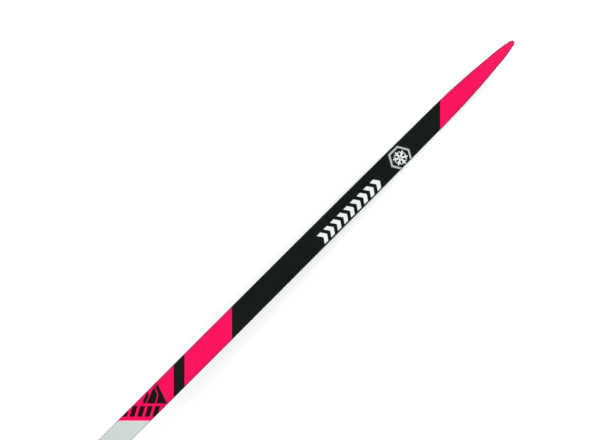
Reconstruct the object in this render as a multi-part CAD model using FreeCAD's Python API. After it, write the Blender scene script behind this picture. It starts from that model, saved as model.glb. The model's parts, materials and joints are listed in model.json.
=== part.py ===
"""A classic cross-country ski with a mohair grip skin and a boot binding, built as separate pieces.

Frame: +X points to the tip, +Y to the skier's left, +Z up. The origin is on the snow, under the middle of
the ski. Lengths are millimetres.

The ski is a layered beam: base sheet, glass laminate, wood and honeycomb core between two sidewalls, a second
laminate and a printed topsheet. Its underside is one curve (camber, upturned tip, slightly raised tail), and
every layer follows it. A flat platform on top carries two glued rail plates. A toe unit and a heel unit slide
on those rails. In the toe unit a dial turns a scroll cam, which draws a steel jaw off the boot's cross bar.

The binding's own directions are u (forward along the platform), v (left) and w (square to the platform),
counted from the boot bar's place on the platform.
"""

import FreeCAD, Part
import math
import os

from FreeCAD import Placement, Rotation, Vector

# ---------------------------------------------------------------- driving dimensions: ski

LENGTH = 2060.0
TIP_X = LENGTH / 2
TAIL_X = -LENGTH / 2
FRONT_CONTACT_X = 820.0
REAR_CONTACT_X = -970.0
CAMBER = 27.0
TIP_RISE = 58.0
TAIL_RISE = 9.0

# (distance from the tip, half width): narrow shovel, widest underfoot; the first point is the tip's half ellipse
HALF_WIDTHS = [
    (10, 6.2), (24, 9.0), (51, 11.9), (90, 15.2), (133, 17.8), (172, 19.3), (221, 19.9), (350, 20.9),
    (500, 21.6), (700, 21.95), (900, 22.0), (1150, 21.95), (1600, 21.7), (1900, 21.2), (LENGTH, 20.6),
]

# (x, beam thickness) where the binding's flat platform starts and stops, and the thickness at the two ends
PLATFORM_FRONT = (-30.0, 25.0)
PLATFORM_REAR = (-440.0, 23.2)
TIP_THICKNESS = 5.4
TAIL_THICKNESS = 7.6

# where the lengths of base, sidewalls and topsheet meet
LENGTH_STOPS = (-900.0, -700.0, -440.0, 285.0, 550.0, 720.0, 850.0, 930.0)

BASE_T = 1.2
LAMINATE_T = 0.7
TOPSHEET_T = 0.6
REINFORCEMENT_T = 0.8
SIDEWALL_T = 3.0
TOPSHEET_INSET = 0.9
BOND_GAP = 0.03
STATION = 25.3
REINFORCEMENT_HALF = 17.0
TAIL_CORNER_R = 13.0

CORE_FRONT_X = 880.0
CORE_REAR_X = -955.0
TAIL_GUARD_L = 7.0

GROOVE_HALF = 4.0
GROOVE_DEPTH = 0.6
SKIN_REAR_X = -260.0
SKIN_FRONT_X = 140.0
SKIN_HALF = 16.0
SKIN_NOSE_L = 28.0
SKIN_BACKING_T = 0.6
SKIN_PROUD = 0.6

# ---------------------------------------------------------------- driving dimensions: binding

BAR_X = -120.0

FOOT_HALF, FOOT_TOP = 17.0, 1.6
STEM_HALF, STEM_TOP = 13.0, 3.0
HEAD_HALF, RAIL_TOP = 16.0, 5.0
RACK_HALF, RACK_FLOOR, RACK_TOOTH_H = 4.5, 3.4, 0.9
RACK_PITCH, RACK_TOOTH_L = 5.0, 2.0
PLATE_FRONT_U = (-84.0, 70.0)
PLATE_REAR_U = (-290.0, -96.0)

SLIDE_GAP = 0.3
CARRIAGE_HALF = 20.0
CARRIAGE_BOTTOM = FOOT_TOP + SLIDE_GAP
DECK_TOP = 8.2
TOE_U = (-62.0, 76.0)
HEEL_U = (-262.0, -118.0)
RIDGE_INNER, RIDGE_OUTER, RIDGE_TOP = 13.0, 17.2, 13.4

BAR_SEAT_R = 2.1
BAR_W = 11.2
PEDESTAL_U = (-7.0, 70.0)
PEDESTAL_HALF = 15.0
PEDESTAL_TOP = 13.1

JAW_BOTTOM, JAW_TOP = 13.4, 14.9
JAW_HALF = 11.0
JAW_NOSE_HALF = 9.0
JAW_U = (-1.9, 57.0)
JAW_TRAVEL = 5.0

DIAL_U = 48.0
POST_R = 3.0
POST_TOP = 19.3
CAM_R = 15.0
CAM_BOTTOM, CAM_TOP = 15.2, 18.4
HUB_R = 8.0
KNOB_R = 17.0
KNOB_BOTTOM, KNOB_DISC_TOP, KNOB_TOP = 20.9, 23.6, 27.4
FOLLOWER_R = 2.0
FOLLOWER_CLOSED_R = 12.0
SCROLL_HALF = FOLLOWER_R + 0.3
DIAL_TRAVEL = math.radians(90.0)

COVER_U = (23.0, 78.0)
COVER_HALF = 19.6
COVER_TOP = 20.5
FLEXOR_U = (3.6, 22.7)
FLEXOR_HALF = 14.5
FLEXOR_TOP = 25.5
SCREW_PLACES = [(29.0, 16.9), (29.0, -16.9), (66.0, 12.5), (66.0, -12.5)]

SPRING_T = 0.7
TOOTH_TIP_W = 3.75


# ---------------------------------------------------------------- the ski's curves


def base_height(x):
    """Height of the running surface at x: a camber arch between the two contact lines, a power curve beyond."""
    if x >= FRONT_CONTACT_X:
        return TIP_RISE * ((x - FRONT_CONTACT_X) / (TIP_X - FRONT_CONTACT_X)) ** 2.2
    if x <= REAR_CONTACT_X:
        return TAIL_RISE * ((REAR_CONTACT_X - x) / (REAR_CONTACT_X - TAIL_X)) ** 2
    middle = (FRONT_CONTACT_X + REAR_CONTACT_X) / 2
    half = (FRONT_CONTACT_X - REAR_CONTACT_X) / 2
    return CAMBER * (1 - abs((x - middle) / half) ** 2.6) ** 2


PLATFORM_FRONT_POINT = Vector(PLATFORM_FRONT[0], 0, base_height(PLATFORM_FRONT[0]) + PLATFORM_FRONT[1])
PLATFORM_REAR_POINT = Vector(PLATFORM_REAR[0], 0, base_height(PLATFORM_REAR[0]) + PLATFORM_REAR[1])
PLATFORM_DIRECTION = (PLATFORM_FRONT_POINT - PLATFORM_REAR_POINT).normalize()
PLATFORM_TILT = math.atan2(PLATFORM_DIRECTION.z, PLATFORM_DIRECTION.x)


def top_height(x):
    """Height of the topsheet at x: straight along the platform, then thinning on a power curve to either end."""
    line = PLATFORM_REAR_POINT.z + (x - PLATFORM_REAR[0]) * math.tan(PLATFORM_TILT)
    if PLATFORM_REAR[0] <= x <= PLATFORM_FRONT[0]:
        return line
    if x > PLATFORM_FRONT[0]:
        beyond = x - PLATFORM_FRONT[0]
        share = beyond / (TIP_X - PLATFORM_FRONT[0])
        thickness = TIP_THICKNESS + (PLATFORM_FRONT[1] - TIP_THICKNESS) * max(0, 1 - share**1.5) ** 2.2
    else:
        beyond = PLATFORM_REAR[0] - x
        share = beyond / (PLATFORM_REAR[0] - TAIL_X)
        thickness = TAIL_THICKNESS + (PLATFORM_REAR[1] - TAIL_THICKNESS) * max(0, 1 - share**1.4) ** 1.6
    curve = base_height(x) + thickness
    return curve + (line - curve) * math.exp(-((beyond / 60) ** 2))


def square_to(height, x, distance):
    """The distance measured square to a sloping line, as a rise straight up."""
    slope = height(x + 0.5) - height(x - 0.5)
    return distance * math.sqrt(1 + slope * slope)


def above_base(distance):
    return lambda x: base_height(x) + square_to(base_height, x, distance)


def below_top(distance):
    return lambda x: top_height(x) - square_to(top_height, x, distance)


def spline(points):
    curve = Part.BSplineCurve()
    curve.interpolate(points)
    return curve


SIDE = spline([Vector(TIP_X - s, half, 0) for s, half in HALF_WIDTHS])


def half_width(x):
    """Half the ski's width at x, by the side curve; past its ends it keeps the last width."""
    inside = min(max(x, TAIL_X), TIP_X - HALF_WIDTHS[0][0])
    crossing = SIDE.intersectCC(Part.Line(Vector(inside, 0, 0), Vector(inside, 1, 0)))
    return max(point.Y for point in crossing)


# ---------------------------------------------------------------- the ski's layers


def strip(lower, upper, inner, outer, low_x, high_x):
    """Solid between two heights and two side lines, each a function of x, from low_x to high_x."""
    first, last = math.floor(low_x / STATION) + 1, math.ceil(high_x / STATION)
    xs = [low_x] + [STATION * i for i in range(first, last)] + [high_x]
    rails = [
        [Vector(x, side(x), height(x)) for x in xs]
        for height, side in ((lower, inner), (lower, outer), (upper, outer), (upper, inner))
    ]
    edges = [spline(rail).toShape() for rail in rails]
    faces = [Part.makeRuledSurface(edges[i], edges[(i + 1) % 4]) for i in range(4)]
    for end in (0, -1):
        corners = [rail[end] for rail in rails]
        faces.append(Part.Face(Part.makePolygon(corners + corners[:1])))
    shell = Part.Shell(faces)
    shell.sewShape()
    solid = Part.Solid(shell)
    return solid if solid.Volume > 0 else solid.reversed()


def stops_between(low_x, high_x, places):
    return [low_x] + [x for x in places if low_x < x < high_x] + [high_x]


def layer(lower, upper, inner, outer, low_x, high_x):
    """A strip split where the platform starts and stops, so that its flat stays flat, and joined again."""
    stops = stops_between(low_x, high_x, (PLATFORM_REAR[0], PLATFORM_FRONT[0]))
    parts = [strip(lower, upper, inner, outer, a, b) for a, b in zip(stops, stops[1:])]
    return parts[0].fuse(parts[1:]).removeSplitter() if len(parts) > 1 else parts[0]


def in_lengths(lower, upper, inner, outer, low_x, high_x):
    """A layer laid in lengths that meet end to end, each short enough to be nearly straight."""
    stops = stops_between(low_x, high_x, LENGTH_STOPS)
    return Part.makeCompound([layer(lower, upper, inner, outer, a, b) for a, b in zip(stops, stops[1:])])


def full_layer(lower, upper, low_x=TAIL_X + TAIL_GUARD_L, high_x=TIP_X, inset=0.0, make=layer):
    """A layer as wide as the ski, its tip and tail rounded in plan."""
    def left(x):
        return half_width(x) - inset

    def right(x):
        return inset - half_width(x)

    body = make(lower, upper, right, left, low_x, high_x)
    if high_x > TIP_X - 20:
        body = body.cut(tip_trim(inset))
    if low_x < TAIL_X + 20:
        body = body.cut(tail_trim(inset))
    return body


def upright_box(low_x, high_x, half):
    box = Part.makeBox(high_x - low_x, 2 * half, 160)
    box.translate(Vector(low_x, -half, -30))
    return box


def tip_trim(inset):
    """Everything in front of the tip's half ellipse."""
    reach = HALF_WIDTHS[0][0]
    oval = Part.Ellipse(Vector(TIP_X - reach, 0, 0), reach - inset, HALF_WIDTHS[0][1] - inset)
    oval = Part.Face(Part.Wire(oval.toShape())).extrude(Vector(0, 0, 160))
    oval.translate(Vector(0, 0, -30))
    return upright_box(TIP_X - reach, TIP_X + 20, 40).cut(oval)


def tail_trim(inset):
    """Everything behind the tail's rounded corners."""
    start = TAIL_X + inset
    keep = upright_box(start, start + 100, HALF_WIDTHS[-1][1] - inset)
    corners = [e for e in keep.Edges if all(abs(p.X - start) < 0.01 for p in e.Vertexes)
               and abs(e.Vertexes[0].Z - e.Vertexes[1].Z) > 1]
    keep = keep.makeFillet(TAIL_CORNER_R, corners)
    return upright_box(TAIL_X - 20, TAIL_X + 20, 40).cut(keep)


def skin_window(half, front_x, rear_x):
    """Upright prism of the grip skin's outline, square at the heel end, with cut corners at the front."""
    corners = [
        Vector(rear_x, -half, 0), Vector(front_x - 12, -half, 0), Vector(front_x, 7 - half, 0),
        Vector(front_x, half - 7, 0), Vector(front_x - 12, half, 0), Vector(rear_x, half, 0),
    ]
    prism = Part.Face(Part.makePolygon(corners + corners[:1])).extrude(Vector(0, 0, 160))
    prism.translate(Vector(0, 0, -30))
    return prism


def constant(value):
    return lambda x: value


# ---------------------------------------------------------------- the ski's pieces


def base_sheet():
    sheet = full_layer(above_base(0), above_base(BASE_T), make=in_lengths)
    sheet = sheet.cut(skin_window(SKIN_HALF, SKIN_FRONT_X, SKIN_REAR_X))
    for low, high in ((-930, SKIN_REAR_X - 40), (SKIN_FRONT_X + 40, 840)):
        groove = strip(
            above_base(-2), above_base(GROOVE_DEPTH), constant(-GROOVE_HALF), constant(GROOVE_HALF), low, high
        )
        sheet = sheet.cut(groove)
    return sheet


CORE_LOW = above_base(BASE_T + LAMINATE_T + BOND_GAP)
CORE_HIGH = below_top(TOPSHEET_T + LAMINATE_T + BOND_GAP)


def core_width(x):
    return half_width(x) - SIDEWALL_T


def binding_reinforcement():
    """Glass plate under the platform that the binding's rails are glued over."""
    low, high = PLATFORM_REAR[0] + 10, PLATFORM_FRONT[0] - 10
    top = TOPSHEET_T + LAMINATE_T + BOND_GAP
    half = REINFORCEMENT_HALF
    return strip(below_top(top + REINFORCEMENT_T), below_top(top), constant(-half), constant(half), low, high)


def core(reinforcement):
    """Three wood stringers and, between them, two honeycomb strips, all under the glass plate."""
    lines = [lambda x: -core_width(x), constant(-13), constant(-3), constant(3), constant(13), core_width]
    strips = [
        layer(CORE_LOW, CORE_HIGH, inner, outer, CORE_REAR_X, CORE_FRONT_X).cut(reinforcement)
        for inner, outer in zip(lines, lines[1:])
    ]
    return Part.makeCompound(strips[0::2]), Part.makeCompound(strips[1::2])


def sidewall(side):
    if side > 0:
        return in_lengths(CORE_LOW, CORE_HIGH, core_width, half_width, CORE_REAR_X, CORE_FRONT_X)
    return in_lengths(
        CORE_LOW, CORE_HIGH, lambda x: -half_width(x), lambda x: -core_width(x), CORE_REAR_X, CORE_FRONT_X
    )


def skin_pieces():
    """Backing tape, mohair pile standing a little proud of the base, and the plastic nose that shields both."""
    nose_x = SKIN_FRONT_X - SKIN_NOSE_L
    top = BASE_T - 0.02
    half = SKIN_HALF - 0.4
    line = (constant(-half), constant(half))
    pile_line = (constant(0.5 - half), constant(half - 0.5))
    backing = strip(above_base(top - SKIN_BACKING_T), above_base(top), *line, SKIN_REAR_X + 0.4, nose_x - 0.3)
    pile_top = top - SKIN_BACKING_T - BOND_GAP
    pile = strip(above_base(-SKIN_PROUD), above_base(pile_top), *pile_line, SKIN_REAR_X + 0.9, nose_x - 0.3)
    nose = strip(above_base(0), above_base(top), *line, nose_x, SKIN_FRONT_X + 5)
    nose = nose.common(skin_window(half, SKIN_FRONT_X - 0.4, SKIN_REAR_X))
    return backing, pile, nose


# ---------------------------------------------------------------- binding helpers


def block(u, v, w):
    """Box from three (low, high) pairs."""
    solid = Part.makeBox(u[1] - u[0], v[1] - v[0], w[1] - w[0])
    solid.translate(Vector(u[0], v[0], w[0]))
    return solid


def across(half):
    return (-half, half)


def post(u, v, w, radius):
    return Part.makeCylinder(radius, w[1] - w[0], Vector(u, v, w[0]))


def cross_rod(u, w, radius, half):
    return Part.makeCylinder(radius, 2 * half, Vector(u, -half, w), Vector(0, 1, 0))


def round_plan(u, half, radius_front, radius_rear, w=(-1.0, 40.0)):
    """Upright prism with rounded ends, to trim a piece's plan."""
    solid = block(u, across(half), w)
    for edge_u, radius in ((u[1], radius_front), (u[0], radius_rear)):
        if radius:
            upright = [
                e for e in solid.Edges
                if all(abs(p.Point.x - edge_u) < 1e-6 for p in e.Vertexes)
                and abs(e.Vertexes[0].Point.z - e.Vertexes[1].Point.z) > 1
            ]
            solid = solid.makeFillet(radius, upright)
    return solid


def side_profile(points, half):
    """Polygon in (u, w), carried across the width."""
    corners = [Vector(u, -half, w) for u, w in points]
    return Part.Face(Part.makePolygon(corners + corners[:1])).extrude(Vector(0, 2 * half, 0))


def fillet_where(solid, radius, wanted):
    edges = [e for e in solid.Edges if wanted(e)]
    return solid.makeFillet(radius, edges) if edges else solid


PLATFORM_ORIGIN = PLATFORM_REAR_POINT + PLATFORM_DIRECTION * (
    (BAR_X - PLATFORM_REAR_POINT.x) / PLATFORM_DIRECTION.x
)
ON_PLATFORM = Placement(PLATFORM_ORIGIN, Rotation(Vector(0, 1, 0), -math.degrees(PLATFORM_TILT)))


def on_ski(shape):
    placed = shape.copy()
    placed.Placement = ON_PLATFORM.multiply(placed.Placement)
    return placed


# ---------------------------------------------------------------- rail plates


def rail_plate(u, front_radius, rear_radius):
    """Glued plate: foot, narrower stem and wider head, so that the carriages hook under it, with a rack on top."""
    foot = block(u, across(FOOT_HALF), (0, FOOT_TOP)).common(
        round_plan(u, FOOT_HALF, front_radius, rear_radius)
    )
    stem = block((u[0] + 1, u[1] - 1), across(STEM_HALF), (FOOT_TOP, STEM_TOP)).common(
        round_plan((u[0] + 1, u[1] - 1), STEM_HALF, front_radius, rear_radius)
    )
    head = block(u, across(HEAD_HALF), (STEM_TOP, RAIL_TOP)).common(
        round_plan(u, HEAD_HALF, front_radius, rear_radius)
    )
    plate = foot.fuse([stem, head])
    plate = plate.cut(block((u[0] + 5, u[1] - 5), across(RACK_HALF), (RACK_FLOOR, RAIL_TOP + 1)))
    first = math.ceil((u[0] + 8) / RACK_PITCH) * RACK_PITCH
    teeth = []
    while first < u[1] - 8:
        start = first - RACK_TOOTH_L / 2
        teeth.append(
            block((start, start + RACK_TOOTH_L), across(RACK_HALF), (RACK_FLOOR - 0.2, RACK_FLOOR + RACK_TOOTH_H))
        )
        first += RACK_PITCH
    return plate.fuse(teeth).removeSplitter()


# ---------------------------------------------------------------- sliding carriages


def carriage(u, front_radius, rear_radius):
    """C-shaped slider that wraps the rail's head, with its lips in the rail's undercut."""
    body = block(u, across(CARRIAGE_HALF), (CARRIAGE_BOTTOM, DECK_TOP)).common(
        round_plan(u, CARRIAGE_HALF, front_radius, rear_radius)
    )
    long_u = (u[0] - 1, u[1] + 1)
    head_room = block(long_u, across(HEAD_HALF + SLIDE_GAP), (STEM_TOP - SLIDE_GAP, RAIL_TOP + SLIDE_GAP))
    stem_room = block(long_u, across(STEM_HALF + SLIDE_GAP), (0, STEM_TOP))
    return body.cut(head_room.fuse(stem_room))


def guide_ridge(u, side):
    """Rib that runs in the boot sole's groove: tapered section, sloped ends."""
    inner, outer = RIDGE_INNER, RIDGE_OUTER
    section = [(inner, DECK_TOP - 0.2), (outer, DECK_TOP - 0.2), (outer - 0.8, RIDGE_TOP), (inner + 0.8, RIDGE_TOP)]
    corners = [Vector(u[0], side * v, w) for v, w in section]
    rib = Part.Face(Part.makePolygon(corners + corners[:1])).extrude(Vector(u[1] - u[0], 0, 0))
    slopes = [
        (u[0] - 1, DECK_TOP - 1), (u[1] + 1, DECK_TOP - 1), (u[1], DECK_TOP + 1), (u[1] - 7, RIDGE_TOP + 0.5),
        (u[0] + 4, RIDGE_TOP + 0.5), (u[0], DECK_TOP + 2),
    ]
    return rib.common(side_profile(slopes, 30))


def lock_spring(clamp_u, tip_u):
    """Steel leaf riveted at one end; its bent tooth drops between two rack teeth and a lip lets a finger lift it."""
    toward = 1 if clamp_u > tip_u else -1
    low, high = 6.0, 6.0 + SPRING_T
    leaf = block(sorted_pair(clamp_u, tip_u), across(4.0), (low, high))
    tooth_u = round((tip_u + toward * 5) / RACK_PITCH) * RACK_PITCH + RACK_PITCH / 2
    tooth = block((tooth_u - 1.1, tooth_u + 1.1), across(3.6), (TOOTH_TIP_W, low + 0.1))
    lip = block(sorted_pair(tip_u, tip_u + toward * SPRING_T), across(4.0), (low, high + 1.3))
    rivet_u = clamp_u - toward * 4
    hole = post(rivet_u, 0, (low - 1, high + 1), 1.5)
    return leaf.fuse([tooth, lip]).removeSplitter().cut(hole), rivet_u


def sorted_pair(a, b):
    return (min(a, b), max(a, b))


def lock_rivet(u):
    shank = post(u, 0, (RAIL_TOP + SLIDE_GAP + 0.1, DECK_TOP - 0.1), 1.5)
    head = post(u, 0, (6.0 + SPRING_T, 6.0 + SPRING_T + 0.8), 2.6)
    return shank.fuse(head)


TOE_SPRING_U = (-16.0, -56.0)
HEEL_SPRING_U = (-156.0, -122.0)
SPRING_HALF_ROOM = 5.0
CLAMP_L = 9.0


def spring_room(clamp_u, tip_u):
    """Window in the deck over the free leaf, and a slot for its clamped end with a shelf below it."""
    toward = 1 if clamp_u > tip_u else -1
    free = block(sorted_pair(clamp_u - toward * CLAMP_L, tip_u - toward * 1.5), across(SPRING_HALF_ROOM),
                 (4.0, DECK_TOP + 1))
    clamped = block(sorted_pair(clamp_u + toward * 0.3, clamp_u - toward * CLAMP_L), across(SPRING_HALF_ROOM),
                    (5.95, DECK_TOP + 1))
    rivet = post(clamp_u - toward * 4, 0, (4.0, DECK_TOP), 1.5)
    return free.fuse([clamped, rivet])


def toe_base():
    body = carriage(TOE_U, 14, 4)
    pedestal = block(PEDESTAL_U, across(PEDESTAL_HALF), (DECK_TOP - 0.5, PEDESTAL_TOP))
    ridges = [guide_ridge((TOE_U[0] + 2, -13.0), side) for side in (1, -1)]
    body = body.fuse([pedestal] + ridges).removeSplitter()
    seat = cross_rod(0, BAR_W, BAR_SEAT_R, 30)
    mouth = block((-BAR_SEAT_R, BAR_SEAT_R), across(30), (BAR_W, PEDESTAL_TOP + 1))
    ramp = side_profile([(-9, 15), (-9, 12.2), (-7, 12.2), (-3.6, 13.4), (-3.6, 15)], 30)
    body = body.cut(seat.fuse([mouth, ramp]))
    body = body.cut(post(DIAL_U, 0, (DECK_TOP, 20), POST_R))
    body = body.cut(spring_room(*TOE_SPRING_U))
    for u, v in SCREW_PLACES:
        body = body.cut(cover_screw(u, v))
    return body


def tread_pad(u, half, top, groove_pitch):
    """Rubber pad with cross grooves in its upper face."""
    pad = block(u, across(half), (DECK_TOP, top))
    upright = [e for e in pad.Edges if abs(e.Vertexes[0].Point.z - e.Vertexes[1].Point.z) > 0.5]
    pad = pad.makeFillet(2.5, upright)
    groove_u = u[0] + groove_pitch
    while groove_u < u[1] - groove_pitch / 2:
        pad = pad.cut(block((groove_u - 0.7, groove_u + 0.7), across(half + 1), (top - 0.6, top + 1)))
        groove_u += groove_pitch
    return pad


def toe_pads():
    """Two soft strips either side of the lock spring's window."""
    strips = []
    for side in (1, -1):
        v = sorted_pair(side * 6.0, side * 12.2)
        strip = block((TOE_U[0] + 4, -14.0), v, (DECK_TOP, DECK_TOP + 1.4))
        upright = [e for e in strip.Edges if abs(e.Vertexes[0].Point.z - e.Vertexes[1].Point.z) > 0.5]
        strip = strip.makeFillet(1.5, upright)
        for i in range(1, 9):
            at = TOE_U[0] + 4 + 5 * i
            strip = strip.cut(block((at - 0.6, at + 0.6), (v[0] - 1, v[1] + 1), (DECK_TOP + 0.9, DECK_TOP + 2)))
        strips.append(strip)
    return Part.makeCompound(strips)


# ---------------------------------------------------------------- toe unit's lock


def scroll_radius(angle):
    """The cam slot's radius falls evenly with angle, so the jaw's travel is in proportion to the dial's turn."""
    return FOLLOWER_CLOSED_R - JAW_TRAVEL * (math.pi - angle) / DIAL_TRAVEL


def scroll_point(angle, aside=0.0):
    slope = JAW_TRAVEL / DIAL_TRAVEL
    radius = scroll_radius(angle)
    along = Vector(
        slope * math.cos(angle) - radius * math.sin(angle), slope * math.sin(angle) + radius * math.cos(angle), 0
    ).normalize()
    middle = Vector(DIAL_U + radius * math.cos(angle), radius * math.sin(angle), 0)
    return middle + Vector(along.y, -along.x, 0) * aside, along


def scroll_slot(w):
    """Spiral slot with round ends, its centreline the follower pin's path on the cam."""
    start, stop = math.pi - DIAL_TRAVEL, math.pi
    angles = [start + (stop - start) * i / 12 for i in range(13)]
    outer = spline([scroll_point(a, SCROLL_HALF)[0] for a in angles])
    inner = spline([scroll_point(a, -SCROLL_HALF)[0] for a in angles])
    caps = []
    for angle, sense in ((start, -1), (stop, 1)):
        middle, along = scroll_point(angle)
        caps.append(
            Part.Arc(
                scroll_point(angle, SCROLL_HALF)[0], middle + along * (sense * SCROLL_HALF),
                scroll_point(angle, -SCROLL_HALF)[0],
            ).toShape()
        )
    wire = Part.Wire(Part.__sortEdges__([outer.toShape(), inner.toShape()] + caps))
    slot = Part.Face(wire).extrude(Vector(0, 0, w[1] - w[0]))
    slot.translate(Vector(0, 0, w[0]))
    return slot


def click_notches():
    """Two dimples in the cam's rim, at the closed and the open stop."""
    notches = []
    for angle in (0.0, -DIAL_TRAVEL):
        u = DIAL_U + (CAM_R + 0.5) * math.cos(angle)
        v = (CAM_R + 0.5) * math.sin(angle)
        notches.append(post(u, v, (CAM_BOTTOM - 1, CAM_TOP + 1), 1.6))
    return notches


def scroll_cam():
    cam = post(DIAL_U, 0, (CAM_BOTTOM, CAM_TOP), CAM_R).fuse(post(DIAL_U, 0, (CAM_TOP, KNOB_BOTTOM), HUB_R))
    cam = cam.cut(post(DIAL_U, 0, (CAM_BOTTOM - 1, POST_TOP + 0.3), POST_R + 0.06))
    cam = cam.cut(scroll_slot((CAM_BOTTOM - 1, CAM_TOP - 0.5)))
    for notch in click_notches():
        cam = cam.cut(notch)
    for screw in dial_screw_list():
        cam = cam.cut(screw)
    return cam


DIAL_SCREW_RADIUS = 5.6


def dial_screw_list():
    screws = []
    for side in (1, -1):
        shank = post(DIAL_U, side * DIAL_SCREW_RADIUS, (CAM_TOP - 0.4, KNOB_DISC_TOP - 0.3), 0.9)
        head = Part.makeCone(0.9, 1.8, 1.1, Vector(DIAL_U, side * DIAL_SCREW_RADIUS, KNOB_DISC_TOP - 1.3))
        screws.append(shank.fuse(head).removeSplitter())
    return screws


def dial_screws():
    return Part.makeCompound([s.cut(screw_socket(s, KNOB_DISC_TOP - 0.2)) for s in dial_screw_list()])


def screw_socket(screw, top):
    middle = screw.BoundBox.Center
    size = 0.9
    socket = block((-size, size), (-0.28, 0.28), (top - 0.6, top + 1))
    other = block((-0.28, 0.28), (-size, size), (top - 0.6, top + 1))
    cross = socket.fuse(other)
    cross.translate(Vector(middle.x, middle.y, 0))
    return cross


def dial_knob():
    """Round plate with a raised grip bar on the u axis when closed."""
    disc = post(DIAL_U, 0, (KNOB_BOTTOM, KNOB_DISC_TOP), KNOB_R)
    rim = [e for e in disc.Edges if len(e.Vertexes) == 1 and e.Vertexes[0].Point.z > KNOB_BOTTOM + 1]
    disc = disc.makeFillet(1.0, rim)
    grip = block((DIAL_U - 15.0, DIAL_U + 15.0), across(3.6), (KNOB_DISC_TOP - 0.5, KNOB_TOP))
    upright = [e for e in grip.Edges if abs(e.Vertexes[0].Point.z - e.Vertexes[1].Point.z) > 1]
    grip = grip.makeFillet(3.0, upright)
    grip = fillet_where(grip, 0.8, lambda e: all(p.Point.z > KNOB_TOP - 0.01 for p in e.Vertexes))
    knob = disc.fuse(grip).removeSplitter()
    for screw in dial_screw_list():
        knob = knob.cut(screw)
        middle = screw.BoundBox.Center
        knob = knob.cut(post(middle.x, middle.y, (KNOB_DISC_TOP - 0.25, KNOB_TOP), 1.85))
    return knob


def jaw_plate():
    """Steel latch that covers the bar when closed; slotted round the dial's post."""
    body = block((4.0, JAW_U[1]), across(JAW_HALF), (JAW_BOTTOM, JAW_TOP))
    nose = block((JAW_U[0], 6.0), across(JAW_NOSE_HALF), (JAW_BOTTOM, JAW_TOP))
    lead_in = side_profile([(JAW_U[0] - 1, 16), (JAW_U[0] - 1, 13.6), (JAW_U[0], 13.6), (JAW_U[0] + 1.6, 16)], 30)
    jaw = body.fuse(nose).removeSplitter().cut(lead_in)
    half = POST_R + 0.3
    slot = block((DIAL_U - JAW_TRAVEL, DIAL_U), across(half), (10, 18))
    slot = slot.fuse([post(DIAL_U - JAW_TRAVEL, 0, (10, 18), half), post(DIAL_U, 0, (10, 18), half)])
    jaw = jaw.cut(slot)
    return jaw.cut(post(DIAL_U - FOLLOWER_CLOSED_R, 0, (10, 18), FOLLOWER_R))


def follower_pin():
    return post(DIAL_U - FOLLOWER_CLOSED_R, 0, (JAW_BOTTOM, CAM_TOP - 0.8), FOLLOWER_R)


def dial_post():
    return post(DIAL_U, 0, (DECK_TOP, POST_TOP), POST_R)


def click_spring():
    """Flat spring across the cam's front, its round nose in the rim's dimple."""
    leaf = block((64.3, 64.8), across(9.6), (CAM_BOTTOM + 0.3, CAM_TOP - 0.3))
    nose = post(DIAL_U + CAM_R + 0.75, 0, (CAM_BOTTOM + 0.3, CAM_TOP - 0.3), 1.2)
    return leaf.fuse(nose).removeSplitter()


def cover_screw(u, v):
    top = COVER_TOP - 0.2
    shank = post(u, v, (5.6 if abs(v) > PEDESTAL_HALF else DECK_TOP - 1.5, top - 1.0), 1.1)
    head = Part.makeCone(1.1, 2.1, 1.2, Vector(u, v, top - 1.2))
    return shank.fuse(head).removeSplitter()


def cover_screws():
    screws = [cover_screw(u, v) for u, v in SCREW_PLACES]
    return Part.makeCompound([s.cut(screw_socket(s, COVER_TOP - 0.2)) for s in screws])


def dovetail(room):
    """The flexor's tongue, or with room added the cover's groove for it."""
    back = COVER_U[0] + 3.2 + room
    neck, wide = 4.6 + room, 6.4 + room
    front = COVER_U[0] - 0.4
    corners = [Vector(front, -neck, 0), Vector(back, -wide, 0), Vector(back, wide, 0), Vector(front, neck, 0)]
    tongue = Part.Face(Part.makePolygon(corners + corners[:1])).extrude(Vector(0, 0, 12))
    tongue.translate(Vector(0, 0, JAW_TOP + 0.4 - room))
    return tongue


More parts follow.
